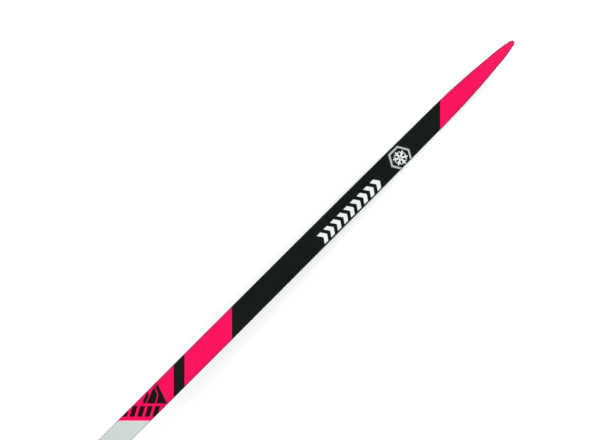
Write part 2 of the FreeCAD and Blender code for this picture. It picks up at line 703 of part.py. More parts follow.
def toe_cover():
    low, high = COVER_U
    nose = [
        Part.makeLine(Vector(low, -COVER_HALF, DECK_TOP), Vector(high, -COVER_HALF, DECK_TOP)),
        Part.makeLine(Vector(high, -COVER_HALF, DECK_TOP), Vector(high, -COVER_HALF, DECK_TOP + 3)),
        Part.Arc(
            Vector(high, -COVER_HALF, DECK_TOP + 3), Vector(high - 3.6, -COVER_HALF, COVER_TOP - 3.0),
            Vector(high - 10.5, -COVER_HALF, COVER_TOP),
        ).toShape(),
        Part.makeLine(Vector(high - 10.5, -COVER_HALF, COVER_TOP), Vector(low, -COVER_HALF, COVER_TOP)),
        Part.makeLine(Vector(low, -COVER_HALF, COVER_TOP), Vector(low, -COVER_HALF, DECK_TOP)),
    ]
    shell = Part.Face(Part.Wire(nose)).extrude(Vector(0, 2 * COVER_HALF, 0))
    shell = shell.common(round_plan(COVER_U, COVER_HALF, 13, 0))
    shell = fillet_where(
        shell, 1.2, lambda e: all(p.Point.z > COVER_TOP - 0.01 for p in e.Vertexes)
        and all(abs(abs(p.Point.y) - COVER_HALF) < 0.01 for p in e.Vertexes),
    )
    shell = shell.cut(block((low - 1, PEDESTAL_U[1]), across(PEDESTAL_HALF), (0, PEDESTAL_TOP)))
    shell = shell.cut(block((low - 1, JAW_U[1] + JAW_TRAVEL + 1), across(JAW_HALF + 0.4), (10, JAW_TOP + 0.3)))
    shell = shell.cut(post(DIAL_U, 0, (10, CAM_TOP + 0.3), CAM_R + 0.4))
    shell = shell.cut(post(DIAL_U, 0, (10, 30), HUB_R + 0.3))
    shell = shell.cut(block((61.0, 65.0), across(10.0), (CAM_BOTTOM, CAM_TOP + 0.1)))
    shell = shell.cut(dovetail(0.3))
    for u, v in SCREW_PLACES:
        shell = shell.cut(cover_screw(u, v))
        shell = shell.cut(post(u, v, (COVER_TOP - 0.22, COVER_TOP + 1), 2.15))
    return shell


def flexor():
    """Rubber bumper that the boot's toe presses: a wedge with cross slits, on two feet beside the jaw."""
    low, high = FLEXOR_U
    wedge = side_profile(
        [(low, JAW_TOP + 0.4), (high, JAW_TOP + 0.4), (high, FLEXOR_TOP - 1), (high - 2, FLEXOR_TOP),
         (low + 5.5, FLEXOR_TOP), (low + 3.5, FLEXOR_TOP - 1.5)],
        FLEXOR_HALF,
    )
    feet = [
        block((low + 1, high - 1), sorted_pair(side * (JAW_HALF + 0.5), side * FLEXOR_HALF),
              (PEDESTAL_TOP + 0.3, JAW_TOP + 1))
        for side in (1, -1)
    ]
    body = wedge.fuse(feet + [dovetail(0.0).common(block((20, 30), across(9), (10, COVER_TOP - 0.3)))])
    body = body.removeSplitter()
    for i in range(3):
        at = low + 8 + 4.0 * i
        body = body.cut(block((at - 0.6, at + 0.6), across(20), (FLEXOR_TOP - 4.5, FLEXOR_TOP + 1)))
    return body


# ---------------------------------------------------------------- heel unit


def heel_base():
    body = carriage(HEEL_U, 4, 12)
    ridges = [guide_ridge((HEEL_U[0] + 7, HEEL_U[1]), side) for side in (1, -1)]
    body = body.fuse(ridges).removeSplitter()
    return body.cut(spring_room(*HEEL_SPRING_U))


HEEL_PAD_U = (-256.0, -164.0)
HEEL_PAD_TOP = 10.2
HEEL_PAD_HALF = 11.6
HEEL_GROOVE_PITCH = 11.5


# ---------------------------------------------------------------- everything, in named files


def save(name, shape):
    shape.exportStep(f"parts/{name}.step")


def pieces():
    reinforcement = binding_reinforcement()
    stringers, honeycomb = core(reinforcement)
    backing, pile, nose = skin_pieces()
    tail_x = TAIL_X + TAIL_GUARD_L
    ski = {
        "base_sheet": base_sheet(),
        "lower_laminate": full_layer(above_base(BASE_T + BOND_GAP), above_base(BASE_T + LAMINATE_T)),
        "core_stringers": stringers,
        "core_honeycomb": honeycomb,
        "binding_reinforcement": reinforcement,
        "sidewall_left": sidewall(1),
        "sidewall_right": sidewall(-1),
        "tip_insert": full_layer(CORE_LOW, CORE_HIGH, low_x=CORE_FRONT_X),
        "tail_insert": full_layer(CORE_LOW, CORE_HIGH, high_x=CORE_REAR_X),
        "upper_laminate": full_layer(below_top(TOPSHEET_T + LAMINATE_T), below_top(TOPSHEET_T + BOND_GAP)),
        "topsheet": full_layer(below_top(TOPSHEET_T), top_height, inset=TOPSHEET_INSET, make=in_lengths),
        "tail_guard": full_layer(base_height, top_height, low_x=TAIL_X, high_x=tail_x),
        "skin_backing": backing,
        "skin_pile": pile,
        "skin_nose": nose,
    }
    toe_spring, toe_rivet_u = lock_spring(*TOE_SPRING_U)
    heel_spring, heel_rivet_u = lock_spring(*HEEL_SPRING_U)
    binding = {
        "rail_plate_front": rail_plate(PLATE_FRONT_U, 12, 2),
        "rail_plate_rear": rail_plate(PLATE_REAR_U, 2, 12),
        "toe_base": toe_base(),
        "toe_cover": toe_cover(),
        "toe_pads": toe_pads(),
        "toe_lock_spring": toe_spring,
        "toe_lock_rivet": lock_rivet(toe_rivet_u),
        "cover_screws": cover_screws(),
        "dial_post": dial_post(),
        "click_spring": click_spring(),
        "dial_knob": dial_knob(),
        "scroll_cam": scroll_cam(),
        "dial_screws": dial_screws(),
        "jaw_plate": jaw_plate(),
        "follower_pin": follower_pin(),
        "flexor": flexor(),
        "heel_base": heel_base(),
        "heel_pad": tread_pad(HEEL_PAD_U, HEEL_PAD_HALF, HEEL_PAD_TOP, HEEL_GROOVE_PITCH),
        "heel_lock_spring": heel_spring,
        "heel_lock_rivet": lock_rivet(heel_rivet_u),
    }
    return {**ski, **{name: on_ski(shape) for name, shape in binding.items()}}


os.makedirs("parts", exist_ok=True)
PIECES = pieces()
for piece_name, piece_shape in PIECES.items():
    save(piece_name, piece_shape)
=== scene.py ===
"""A classic cross-country ski, in the order it is put together from base to binding."""

import json
import math

import bmesh
import bpy
import numpy as np
from mathutils import Matrix, Vector

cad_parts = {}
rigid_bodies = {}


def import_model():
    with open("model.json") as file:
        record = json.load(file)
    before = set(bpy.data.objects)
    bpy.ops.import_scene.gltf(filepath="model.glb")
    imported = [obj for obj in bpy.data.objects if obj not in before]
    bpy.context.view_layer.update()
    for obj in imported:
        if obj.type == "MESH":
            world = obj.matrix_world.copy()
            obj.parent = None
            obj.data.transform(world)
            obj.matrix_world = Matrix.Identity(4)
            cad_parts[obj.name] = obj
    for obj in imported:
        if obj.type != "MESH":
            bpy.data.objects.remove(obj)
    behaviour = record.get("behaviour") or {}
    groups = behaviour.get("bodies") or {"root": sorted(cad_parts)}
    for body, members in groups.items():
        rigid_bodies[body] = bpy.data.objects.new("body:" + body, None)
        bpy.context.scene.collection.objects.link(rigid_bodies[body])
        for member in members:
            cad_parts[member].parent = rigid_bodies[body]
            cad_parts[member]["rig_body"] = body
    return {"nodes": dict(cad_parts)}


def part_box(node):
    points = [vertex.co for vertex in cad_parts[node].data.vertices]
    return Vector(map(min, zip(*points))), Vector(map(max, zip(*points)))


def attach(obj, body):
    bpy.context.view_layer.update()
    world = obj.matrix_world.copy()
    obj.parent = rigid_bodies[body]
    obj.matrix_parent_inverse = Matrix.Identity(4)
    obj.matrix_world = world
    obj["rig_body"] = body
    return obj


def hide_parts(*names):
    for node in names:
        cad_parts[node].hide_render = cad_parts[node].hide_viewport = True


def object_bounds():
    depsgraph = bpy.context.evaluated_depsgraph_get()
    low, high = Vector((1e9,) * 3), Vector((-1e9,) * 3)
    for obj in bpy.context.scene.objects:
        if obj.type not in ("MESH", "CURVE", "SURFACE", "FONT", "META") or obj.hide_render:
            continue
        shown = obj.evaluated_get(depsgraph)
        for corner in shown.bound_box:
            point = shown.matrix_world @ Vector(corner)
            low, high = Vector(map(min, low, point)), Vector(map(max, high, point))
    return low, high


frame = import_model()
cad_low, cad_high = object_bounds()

# ---------------------------------------------------------------- table, light and camera
# A plain white table top under the ski, which touches it along two lines. A soft key and a soft fill light it
# evenly from end to end. The camera looks straight down on the front half, the tip up to the right.


def plain_material(name, colour, roughness):
    """A Principled material with its colour and roughness on the shader's own sockets."""
    material = bpy.data.materials.new(name)
    material.use_nodes = True
    shader = material.node_tree.nodes["Principled BSDF"]
    shader.inputs["Base Color"].default_value = (*colour, 1.0)
    shader.inputs["Roughness"].default_value = roughness
    return material, shader


TABLE_HALF, TABLE_GAP, TABLE_GLOW = 30, 0.0005, 0.22
table_corners = [(x * TABLE_HALF, y * TABLE_HALF, 0) for x, y in ((-1, -1), (1, -1), (1, 1), (-1, 1))]
table_mesh = bpy.data.meshes.new("table_top")
table_mesh.from_pydata(table_corners, [], [(0, 1, 2, 3)])
table = bpy.data.objects.new("table_top", table_mesh)
bpy.context.scene.collection.objects.link(table)
table.location.z = cad_low[2] - TABLE_GAP
table_white, table_shader = plain_material("table_white", (0.93, 0.93, 0.93), 0.8)
table_shader.inputs["Emission Color"].default_value = (1.0, 1.0, 1.0, 1.0)
table_shader.inputs["Emission Strength"].default_value = TABLE_GLOW
table_mesh.materials.append(table_white)

ZENITH_LIGHT, HORIZON_LIGHT = 0.30, 1.35


def room_light():
    """A white room, brighter low round the walls than overhead, so that the print below it shows no glare."""
    room = bpy.data.worlds.new("soft_room")
    bpy.context.scene.world = room
    room.use_nodes = True
    nodes, links = room.node_tree.nodes, room.node_tree.links
    nodes["Background"].inputs["Color"].default_value = (1.0, 1.0, 1.0, 1.0)
    parts = nodes.new("ShaderNodeSeparateXYZ")
    links.new(nodes.new("ShaderNodeTexCoord").outputs["Generated"], parts.inputs[0])
    squared = nodes.new("ShaderNodeMath")
    squared.operation = "MULTIPLY"
    links.new(parts.outputs["Z"], squared.inputs[0])
    links.new(parts.outputs["Z"], squared.inputs[1])
    strength = nodes.new("ShaderNodeMapRange")
    strength.inputs["To Min"].default_value = HORIZON_LIGHT
    strength.inputs["To Max"].default_value = ZENITH_LIGHT
    links.new(squared.outputs[0], strength.inputs["Value"])
    links.new(strength.outputs["Result"], nodes["Background"].inputs["Strength"])


room_light()


def soft_sun(name, comes_from, strength, spread):
    """Even light from far off; the spread, in degrees, softens its shadows."""
    data = bpy.data.lights.new(name, "SUN")
    data.energy = strength
    data.angle = math.radians(spread)
    lamp = bpy.data.objects.new(name, data)
    bpy.context.scene.collection.objects.link(lamp)
    lamp.rotation_euler = Vector(comes_from).to_track_quat("Z", "Y").to_euler()
    lamp.visible_camera = False


soft_sun("key", (-0.35, 1.0, 0.9), 1.25, 40)
soft_sun("fill", (0.5, -0.9, 0.9), 0.85, 44)

# The view is 1.11 m wide in the plane at VIEW_PLANE_Z. The tip lies this far right of and above its middle.
VIEW_WIDTH, VIEW_PLANE_Z = 1.110, 0.045
TIP_RIGHT, TIP_UP = 0.395715, 0.330965
LENS, SENSOR = 400.0, 36.0

image_right = Vector((1, -1, 0)).normalized()
image_up = Vector((1, 1, 0)).normalized()
distance = VIEW_WIDTH * LENS / SENSOR
tip_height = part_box("topsheet")[1].z
nearer = 1 - (tip_height - VIEW_PLANE_Z) / distance
under_camera = Vector((cad_high[0], 0, 0)) - (image_right * TIP_RIGHT + image_up * TIP_UP) * nearer
camera_data = bpy.data.cameras.new("camera")
camera_data.lens = LENS
camera_data.sensor_width = SENSOR
camera_data.clip_end = 200.0
camera = bpy.data.objects.new("camera", camera_data)
bpy.context.scene.collection.objects.link(camera)
turned = Matrix((image_right, image_up, Vector((0, 0, 1)))).transposed().to_4x4()
above = Vector((0, 0, VIEW_PLANE_Z + distance))
camera.matrix_world = Matrix.Translation(under_camera + above) @ turned
bpy.context.scene.camera = camera
bpy.context.scene.view_settings.view_transform = "Standard"

# ---------------------------------------------------------------- base sheet
# The running base: black sintered polyethylene 1.2 mm thick, sawn to the ski's outline and glued under the
# beam. It is stone-ground in long fine lines and has a shallow guide groove and a window for the grip skin.

TIP_X, TAIL_X = cad_high[0], cad_low[0]
HALF_LENGTH = 1.030
CONTACT_X = (-0.970, 0.820)
CAMBER, TIP_RISE, TAIL_RISE = 0.027, 0.058, 0.009
SIDE_STATIONS = np.array([10, 24, 51, 90, 133, 172, 221, 350, 500, 700, 900, 1150, 1600, 1900, 2060]) / 1000
SIDE_HALVES = np.array(
    [6.2, 9.0, 11.9, 15.2, 17.8, 19.3, 19.9, 20.9, 21.6, 21.95, 22.0, 21.95, 21.7, 21.2, 20.6]
) / 1000
TAIL_CORNER = 0.013
GUARD_X = TAIL_X + 0.007
BASE_T, GAP = 0.0012, 0.00003
GROOVES = ((-0.930, -0.300), (0.180, 0.840))
GROOVE_HALF, GROOVE_DEPTH, GROOVE_RUN_OUT = 0.004, 0.0006, 0.015
SKIN_X, SKIN_HALF = (-0.260, 0.140), 0.016
SKIN_CUT_X, SKIN_FRONT_HALF = 0.128, 0.009
WINDOW_DEPTH = 0.00119


def base_height(x):
    """CAMBER * (1 - |share|^2.6)^2 between the contact lines; 2.2 and 2.0 power curves beyond them."""
    middle, half = sum(CONTACT_X) / 2, (CONTACT_X[1] - CONTACT_X[0]) / 2
    arch = CAMBER * (1 - np.minimum(np.abs((x - middle) / half), 1) ** 2.6) ** 2
    tip_part = TIP_RISE * (np.maximum(x - CONTACT_X[1], 0) / (HALF_LENGTH - CONTACT_X[1])) ** 2.2
    tail_part = TAIL_RISE * (np.maximum(CONTACT_X[0] - x, 0) / (CONTACT_X[0] + HALF_LENGTH)) ** 2
    return arch + tip_part + tail_part


def spline_bends(stations, values):
    """Second derivatives of the natural cubic spline through the points, from its tridiagonal system."""
    gaps, inner = np.diff(stations), np.arange(1, len(stations) - 1)
    matrix, right = np.eye(len(stations)), np.zeros(len(stations))
    matrix[inner, inner - 1], matrix[inner, inner + 1] = gaps[:-1], gaps[1:]
    matrix[inner, inner] = 2 * (gaps[:-1] + gaps[1:])
    right[inner] = 6 * np.diff(np.diff(values) / gaps)
    return np.linalg.solve(matrix, right)


SIDE_BENDS = spline_bends(SIDE_STATIONS, SIDE_HALVES)


def half_width(x, inset=0.0):
    """Cubic spline along the side, less the inset; a half ellipse at the tip, round corners at the tail."""
    behind_tip = np.clip(TIP_X - x, SIDE_STATIONS[0], SIDE_STATIONS[-1])
    left = np.clip(np.searchsorted(SIDE_STATIONS, behind_tip) - 1, 0, len(SIDE_STATIONS) - 2)
    gap = SIDE_STATIONS[left + 1] - SIDE_STATIONS[left]
    far = (behind_tip - SIDE_STATIONS[left]) / gap
    near = 1 - far
    bend = ((near**3 - near) * SIDE_BENDS[left] + (far**3 - far) * SIDE_BENDS[left + 1]) * gap**2 / 6
    side = near * SIDE_HALVES[left] + far * SIDE_HALVES[left + 1] + bend - inset
    oval_start = TIP_X - SIDE_STATIONS[0]
    along = np.clip((x - oval_start) / (SIDE_STATIONS[0] - inset), 0, 1)
    side = np.where(along > 0, (SIDE_HALVES[0] - inset) * np.sqrt(1 - along**2), side)
    into = np.clip(x - TAIL_X - inset, 0, TAIL_CORNER)
    return side - TAIL_CORNER + np.sqrt(TAIL_CORNER**2 - (TAIL_CORNER - into) ** 2)


def square_to(height, x, distance):
    """The distance measured square to a sloping line, as a rise straight up: distance * sqrt(1 + slope^2)."""
    reach = 0.0005
    slope = (height(x + reach) - height(x - reach)) / (2 * reach)
    return distance * np.sqrt(1 + slope**2)


def above_base(distance):
    """A line that stays this far above the base, measured square to it."""
    return lambda x: base_height(x) + square_to(base_height, x, distance)


def stations_between(low, high, extra=(), step=0.005):
    """Even stations, closer by sine steps where the outline turns in at the tip and at the tail's corners."""
    turn = np.linspace(0, math.pi / 2, 15)
    places = [np.linspace(low, high, max(3, int(round((high - low) / step)) + 1)), np.array(extra)]
    if high > TIP_X - 0.012:
        places.append(high - 0.014 * (1 - np.sin(turn)))
    if low < TAIL_X + 0.010:
        places.append(low + 0.014 * (1 - np.cos(turn)))
    return np.unique(np.round(np.clip(np.concatenate(places), low, high), 7))


def tube_faces(rows, columns):
    """Quads of a grid whose columns close on themselves, with one polygon over each end row."""
    i, j = np.meshgrid(np.arange(rows - 1), np.arange(columns), indexing="ij")
    after = (j + 1) % columns
    here, there = i * columns, (i + 1) * columns
    quads = np.stack([here + j, here + after, there + after, there + j], -1)
    ends = [list(range(columns)), list(range((rows - 1) * columns, rows * columns))]
    return quads.reshape(-1, 4).tolist() + ends


def closed_mesh(name, points, faces, keep_sharp=30.0):
    """Mesh with doubled points merged and normals outwards; corners above keep_sharp degrees stay crisp."""
    mesh = bpy.data.meshes.new(name)
    mesh.from_pydata(points.reshape(-1, 3).tolist(), [], faces)
    build = bmesh.new()
    build.from_mesh(mesh)
    bmesh.ops.remove_doubles(build, verts=build.verts, dist=2e-6)
    bmesh.ops.recalc_face_normals(build, faces=build.faces)
    build.to_mesh(mesh)
    build.free()
    mesh.shade_smooth()
    mesh.set_sharp_from_angle(angle=math.radians(keep_sharp))
    return mesh


def tube_mesh(name, x, y, z, keep_sharp=30.0):
    """A closed solid through the sections y, z that stand at each x."""
    points = np.stack([np.broadcast_to(x, z.shape), np.broadcast_to(y, z.shape), z], -1)
    return closed_mesh(name, points, tube_faces(*z.shape), keep_sharp)


def add_piece(name, mesh, body, material, replaced=()):
    """Links the piece, gives it its material, names its body, and hides the nodes it stands for."""
    piece = bpy.data.objects.new(name, mesh)
    bpy.context.scene.collection.objects.link(piece)
    mesh.materials.append(material)
    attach(piece, body)
    if replaced:
        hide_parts(*replaced)
    return piece


def new_group(name, inputs, outputs):
    """An empty shader group; inputs are (name, socket kind, default), outputs are (name, socket kind)."""
    group = bpy.data.node_groups.new(name, "ShaderNodeTree")
    for socket, kind, value in inputs:
        group.interface.new_socket(name=socket, in_out="INPUT", socket_type=kind).default_value = value
    for socket, kind in outputs:
        group.interface.new_socket(name=socket, in_out="OUTPUT", socket_type=kind)
    return group, group.nodes.new("NodeGroupInput").outputs, group.nodes.new("NodeGroupOutput").inputs


def join(tree, value, socket):
    """Links an output to a socket, or puts a plain number or colour on it."""
    if isinstance(value, bpy.types.NodeSocket):
        tree.links.new(value, socket)
    else:
        socket.default_value = (*value, 1.0) if isinstance(value, tuple) and socket.type == "RGBA" else value


def noise(tree, vector, scale, detail=3.0, roughness=0.55):
    """Noise from 0 to 1 at the places that the vector gives."""
    node = tree.nodes.new("ShaderNodeTexNoise")
    for socket, value in (("Vector", vector), ("Scale", scale), ("Detail", detail), ("Roughness", roughness)):
        join(tree, value, node.inputs[socket])
    return node.outputs["Fac"]


def remap(tree, value, low, high, new_low=0.0, new_high=1.0):
    """The value's range low..high eased over new_low..new_high, 3t^2 - 2t^3, and held at its ends."""
    node = tree.nodes.new("ShaderNodeMapRange")
    node.interpolation_type = "SMOOTHSTEP"
    sockets = ("Value", "From Min", "From Max", "To Min", "To Max")
    for socket, number in zip(sockets, (value, low, high, new_low, new_high)):
        join(tree, number, node.inputs[socket])
    return node.outputs["Result"]


def sums(tree, operation, first, second):
    """One Math node on two outputs or numbers."""
    node = tree.nodes.new("ShaderNodeMath")
    node.operation = operation
    join(tree, first, node.inputs[0])
    join(tree, second, node.inputs[1])
    return node.outputs[0]


def mix_colour(tree, mask, first, second):
    """The first colour where the mask is 0, the second where it is 1."""
    node = tree.nodes.new("ShaderNodeMix")
    node.data_type = "RGBA"
    sockets = {s.name: s for s in node.inputs if s.type == "RGBA"}
    join(tree, mask, node.inputs["Factor"])
    join(tree, first, sockets["A"])
    join(tree, second, sockets["B"])
    return [s for s in node.outputs if s.type == "RGBA"][0]


def bump(tree, shader, height, depth, strength=0.6):
    """Relief of the given depth in metres on the shader's normal."""
    node = tree.nodes.new("ShaderNodeBump")
    node.inputs["Distance"].default_value = depth
    node.inputs["Strength"].default_value = strength
    tree.links.new(height, node.inputs["Height"])
    tree.links.new(node.outputs["Normal"], shader.inputs["Normal"])


def stretched_place(tree, scale):
    """Object coordinates stretched by three factors, for patterns that run one way."""
    place = tree.nodes.new("ShaderNodeTexCoord").outputs["Object"]
    node = tree.nodes.new("ShaderNodeMapping")
    node.inputs["Scale"].default_value = scale
    tree.links.new(place, node.inputs["Vector"])
    return node.outputs[0]


def fine_lines_group():
    """Lines: noise drawn out along X, as grinding, planing and rolling leave; plus a broad cloudy bloom."""
    group, given, result = new_group(
        "fine_lines",
        [("Density", "NodeSocketFloat", 1.0)],
        [("Lines", "NodeSocketFloat"), ("Bloom", "NodeSocketFloat")],
    )
    lines = noise(group, stretched_place(group, (22.0, 2200.0, 2200.0)), given["Density"], 5.0, 0.7)
    group.links.new(lines, result["Lines"])
    group.links.new(noise(group, stretched_place(group, (6.0, 30.0, 30.0)), 1.0, 4.0), result["Bloom"])
    return group


FINE_LINES = fine_lines_group()


def use_group(tree, group, **values):
    """A shader group put in the tree, with its inputs set; returns its outputs."""
    node = tree.nodes.new("ShaderNodeGroup")
    node.node_tree = group
    for name, value in values.items():
        join(tree, value, node.inputs[name.replace("_", " ")])
    return node.outputs


def lined_material(name, dark, light, roughness, depth, density=1.0, specular=0.5):
    """A ground or planed surface: tone from dark to light with the bloom, gloss and relief with the lines."""
    material, shader = plain_material(name, dark, sum(roughness) / 2)
    tree = material.node_tree
    shader.inputs["Specular IOR Level"].default_value = specular
    effect = use_group(tree, FINE_LINES, Density=density)
    tone = mix_colour(tree, remap(tree, effect["Bloom"], 0.35, 0.7), dark, light)
    tone = mix_colour(tree, remap(tree, effect["Lines"], 0.55, 0.75, 0.0, 0.35), tone, light)
    tree.links.new(tone, shader.inputs["Base Color"])
    tree.links.new(remap(tree, effect["Lines"], 0.3, 0.7, *roughness), shader.inputs["Roughness"])
    bump(tree, shader, effect["Lines"], depth)
    return material


def run_in(x, stretch):
    """Rises 0 to 1 over the run-out length inside each end of a stretch."""
    low, high = stretch
    return np.clip((x - low) / GROOVE_RUN_OUT, 0, 1) * np.clip((high - x) / GROOVE_RUN_OUT, 0, 1)


def base_section(x):
    """Lower side from right to left with groove and window cut in, then the plain upper side back again."""
    half = half_width(x)
    cut = (x - SKIN_CUT_X) / (SKIN_X[1] - SKIN_CUT_X)
    window = SKIN_HALF - (SKIN_HALF - SKIN_FRONT_HALF) * np.clip(cut, 0, 1)
    window = np.minimum(window, 0.8 * half)
    groove = np.minimum(GROOVE_HALF, 0.3 * half)
    depth = square_to(base_height, x, GROOVE_DEPTH) * sum(run_in(x, stretch) for stretch in GROOVES)
    inside = (x > SKIN_X[0] + 1e-6) & (x < SKIN_X[1] - 1e-6)
    recess = np.where(inside, square_to(base_height, x, WINDOW_DEPTH), 0.0)
    none = np.zeros_like(x)
    right_to_left = [
        (-half, none), (-window, none), (-window, recess), (-groove, recess), (-groove, recess + depth),
        (none, recess + depth), (groove, recess + depth), (groove, recess), (window, recess), (window, none),
        (half, none),
    ]
    under_y = np.concatenate([y for y, _ in right_to_left], 1)
    under_z = base_height(x) + np.concatenate([z for _, z in right_to_left], 1)
    over_y = half * np.linspace(1, -1, 11)
    over_z = above_base(BASE_T)(x) + np.zeros_like(over_y)
    return np.concatenate([under_y, over_y], 1), np.concatenate([under_z, over_z], 1)


window_ends = [SKIN_X[0], SKIN_X[0] + 2e-5, SKIN_X[1] - 2e-5, SKIN_X[1], SKIN_CUT_X]
groove_ends = [x for low, high in GROOVES for x in (low, low + GROOVE_RUN_OUT, high - GROOVE_RUN_OUT, high)]
base_x = stations_between(GUARD_X, TIP_X, window_ends + groove_ends)[:, None]
base_black = lined_material(
    "stone_ground_base", (0.010, 0.0105, 0.0115), (0.030, 0.031, 0.033), (0.28, 0.5), 3e-5
)
base_mesh = tube_mesh("base_sheet_ground", base_x, *base_section(base_x))
add_piece("base_sheet_ground", base_mesh, "ski", base_black, ["base_sheet"])

# ---------------------------------------------------------------- lower laminate
# A 0.7 mm skin of glass cloth in dark resin, as wide as the ski, bonded on the base. Only its edge shows from
# outside, as a thin line above the base.

LAMINATE_T, SHEET_T = 0.0007, 0.0006


def sheet_section(x, low, high, inset, rim):
    """A flat sheet's section: lower side, then quarter circles of radius rim at its two upper edges."""
    half = half_width(x, inset)
    rim = np.minimum(rim, 0.45 * half) + np.zeros_like(x)
    turn = np.linspace(math.pi / 2, 0, 5)
    left_y, left_drop = half - rim + rim * np.sin(turn), rim * (1 - np.cos(turn))
    under_y = half * np.linspace(-1, 1, 9)
    over_y = (half - rim) * np.linspace(0.75, -0.75, 7)
    y = np.concatenate([under_y, left_y, over_y, -left_y[:, ::-1]], 1)
    rims = high(x) - left_drop
    z = np.concatenate([low(x) + 0 * under_y, rims, high(x) + 0 * over_y, rims[:, ::-1]], 1)
    return y, z


def sheet_mesh(name, low_x, high_x, low, high, inset=0.0, rim=0.0):
    """The sheet section carried along the ski from low_x to high_x."""
    x = stations_between(low_x, high_x)[:, None]
    return tube_mesh(name, x, *sheet_section(x, low, high, inset, rim))


glass_edge = lined_material(
    "glass_laminate", (0.030, 0.036, 0.033), (0.075, 0.088, 0.078), (0.3, 0.5), 2e-5, 0.5, 0.3
)
lower_glass = sheet_mesh(
    "lower_laminate_cloth", GUARD_X, TIP_X, above_base(BASE_T + GAP), above_base(BASE_T + LAMINATE_T)
)
add_piece("lower_laminate_cloth", lower_glass, "ski", glass_edge, ["lower_laminate"])

# ---------------------------------------------------------------- core
# Three stringers of light paulownia wood with two strips of aramid honeycomb between them, milled to the
# ski's thickness, and a glass plate let in under the binding. The sidewalls and the sheets close it all in.


def wood_material():
    """Light wood: growth rings drawn far out along X, with fine pores that darken it."""
    material, shader = plain_material("core_wood", (0.55, 0.38, 0.20), 0.6)
    tree = material.node_tree
    rings = noise(tree, stretched_place(tree, (2.5, 160.0, 160.0)), 1.0, 4.0, 0.6)
    pores = noise(tree, stretched_place(tree, (60.0, 2500.0, 2500.0)), 1.0, 2.0)
    early, late, pore = (0.62, 0.45, 0.26), (0.42, 0.26, 0.12), (0.25, 0.15, 0.07)
    tone = mix_colour(tree, remap(tree, rings, 0.35, 0.65), early, late)
    tone = mix_colour(tree, remap(tree, pores, 0.6, 0.75, 0.0, 0.5), tone, pore)
    tree.links.new(tone, shader.inputs["Base Color"])
    bump(tree, shader, pores, 5e-5)
    return material


def cell_material():
    """Honeycomb: small Voronoi cells, brown paper walls, and cell centres painted darker as painted shade in
    the open hollows.
    """
    material, shader = plain_material("core_cell", (0.55, 0.42, 0.20), 0.75)
    tree = material.node_tree
    cells = tree.nodes.new("ShaderNodeTexVoronoi")
    cells.feature = "DISTANCE_TO_EDGE"
    cells.inputs["Scale"].default_value = 260.0
    tree.links.new(tree.nodes.new("ShaderNodeTexCoord").outputs["Object"], cells.inputs["Vector"])
    wall = remap(tree, cells.outputs["Distance"], 0.03, 0.09, 1.0, 0.0)
    # Painted shade: the hollow centres of the cells are painted darker than the paper.
    shaded_hollow, paper = (0.16, 0.11, 0.05), (0.62, 0.48, 0.24)
    tree.links.new(mix_colour(tree, wall, shaded_hollow, paper), shader.inputs["Base Color"])
    bump(tree, shader, wall, 2e-4)
    return material


def dress(node, material):
    """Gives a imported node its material; its shape is left as it is."""
    slots = frame["nodes"][node].material_slots
    if not slots:
        frame["nodes"][node].data.materials.append(material)
    for slot in slots:
        slot.material = material


dress("core_stringers", wood_material())
dress("core_honeycomb", cell_material())
dress("binding_reinforcement", glass_edge)

# ---------------------------------------------------------------- tip and tail inserts
# Two blocks of hard black foam plastic fill the beam ahead of and behind the core, where it gets too thin for
# wood. They are as wide as the ski, so their sanded edges show between the two glass sheets.

PLATFORM_X = (-0.440, -0.030)
PLATFORM_T = (0.0232, 0.0250)
END_T = (0.0076, 0.0054)
PLATFORM_BLEND = 0.060
CORE_X = (-0.955, 0.880)


def top_height(x):
    """Straight over the platform. Beyond, base height plus (1 - share^p)^q thinning, blended in by a bell."""
    rear_z = base_height(np.array(PLATFORM_X[0])) + PLATFORM_T[0]
    front_z = base_height(np.array(PLATFORM_X[1])) + PLATFORM_T[1]
    line = rear_z + (x - PLATFORM_X[0]) * (front_z - rear_z) / (PLATFORM_X[1] - PLATFORM_X[0])
    ahead = np.clip((x - PLATFORM_X[1]) / (HALF_LENGTH - PLATFORM_X[1]), 0, 1)
    behind = np.clip((PLATFORM_X[0] - x) / (PLATFORM_X[0] + HALF_LENGTH), 0, 1)
    front = END_T[1] + (PLATFORM_T[1] - END_T[1]) * (1 - ahead**1.5) ** 2.2
    rear = END_T[0] + (PLATFORM_T[0] - END_T[0]) * (1 - behind**1.4) ** 1.6
    curve = base_height(x) + np.where(x > PLATFORM_X[1], front, rear)
    beyond = np.maximum(np.maximum(x - PLATFORM_X[1], PLATFORM_X[0] - x), 0)
    return curve + (line - curve) * np.exp(-((beyond / PLATFORM_BLEND) ** 2))


def below_top(distance):
    """A line that stays this far below the top, measured square to it."""
    return lambda x: top_height(x) - square_to(top_height, x, distance)


core_low = above_base(BASE_T + LAMINATE_T + GAP)
core_high = below_top(SHEET_T + LAMINATE_T + GAP)
insert_black = lined_material(
    "sanded_foam", (0.012, 0.012, 0.013), (0.035, 0.036, 0.037), (0.5, 0.8), 4e-5, 0.6, 0.3
)
for name, low_x, high_x in (("tip_insert", CORE_X[1], TIP_X), ("tail_insert", GUARD_X, CORE_X[0])):
    insert = sheet_mesh(name + "_block", low_x, high_x, core_low, core_high)
    add_piece(name + "_block", insert, "ski", insert_black, [name])

# ---------------------------------------------------------------- sidewalls
# Strips of black ABS 3 mm thick, glued along both sides of the core before pressing and planed flush with the
# sheets afterwards. The plane leaves long fine marks in their satin face.

SIDEWALL_T = 0.003

wall_black = lined_material(
    "planed_sidewall", (0.0070, 0.0078, 0.0086), (0.015, 0.0165, 0.0175), (0.34, 0.50), 1.5e-5, 0.7, 0.25
)


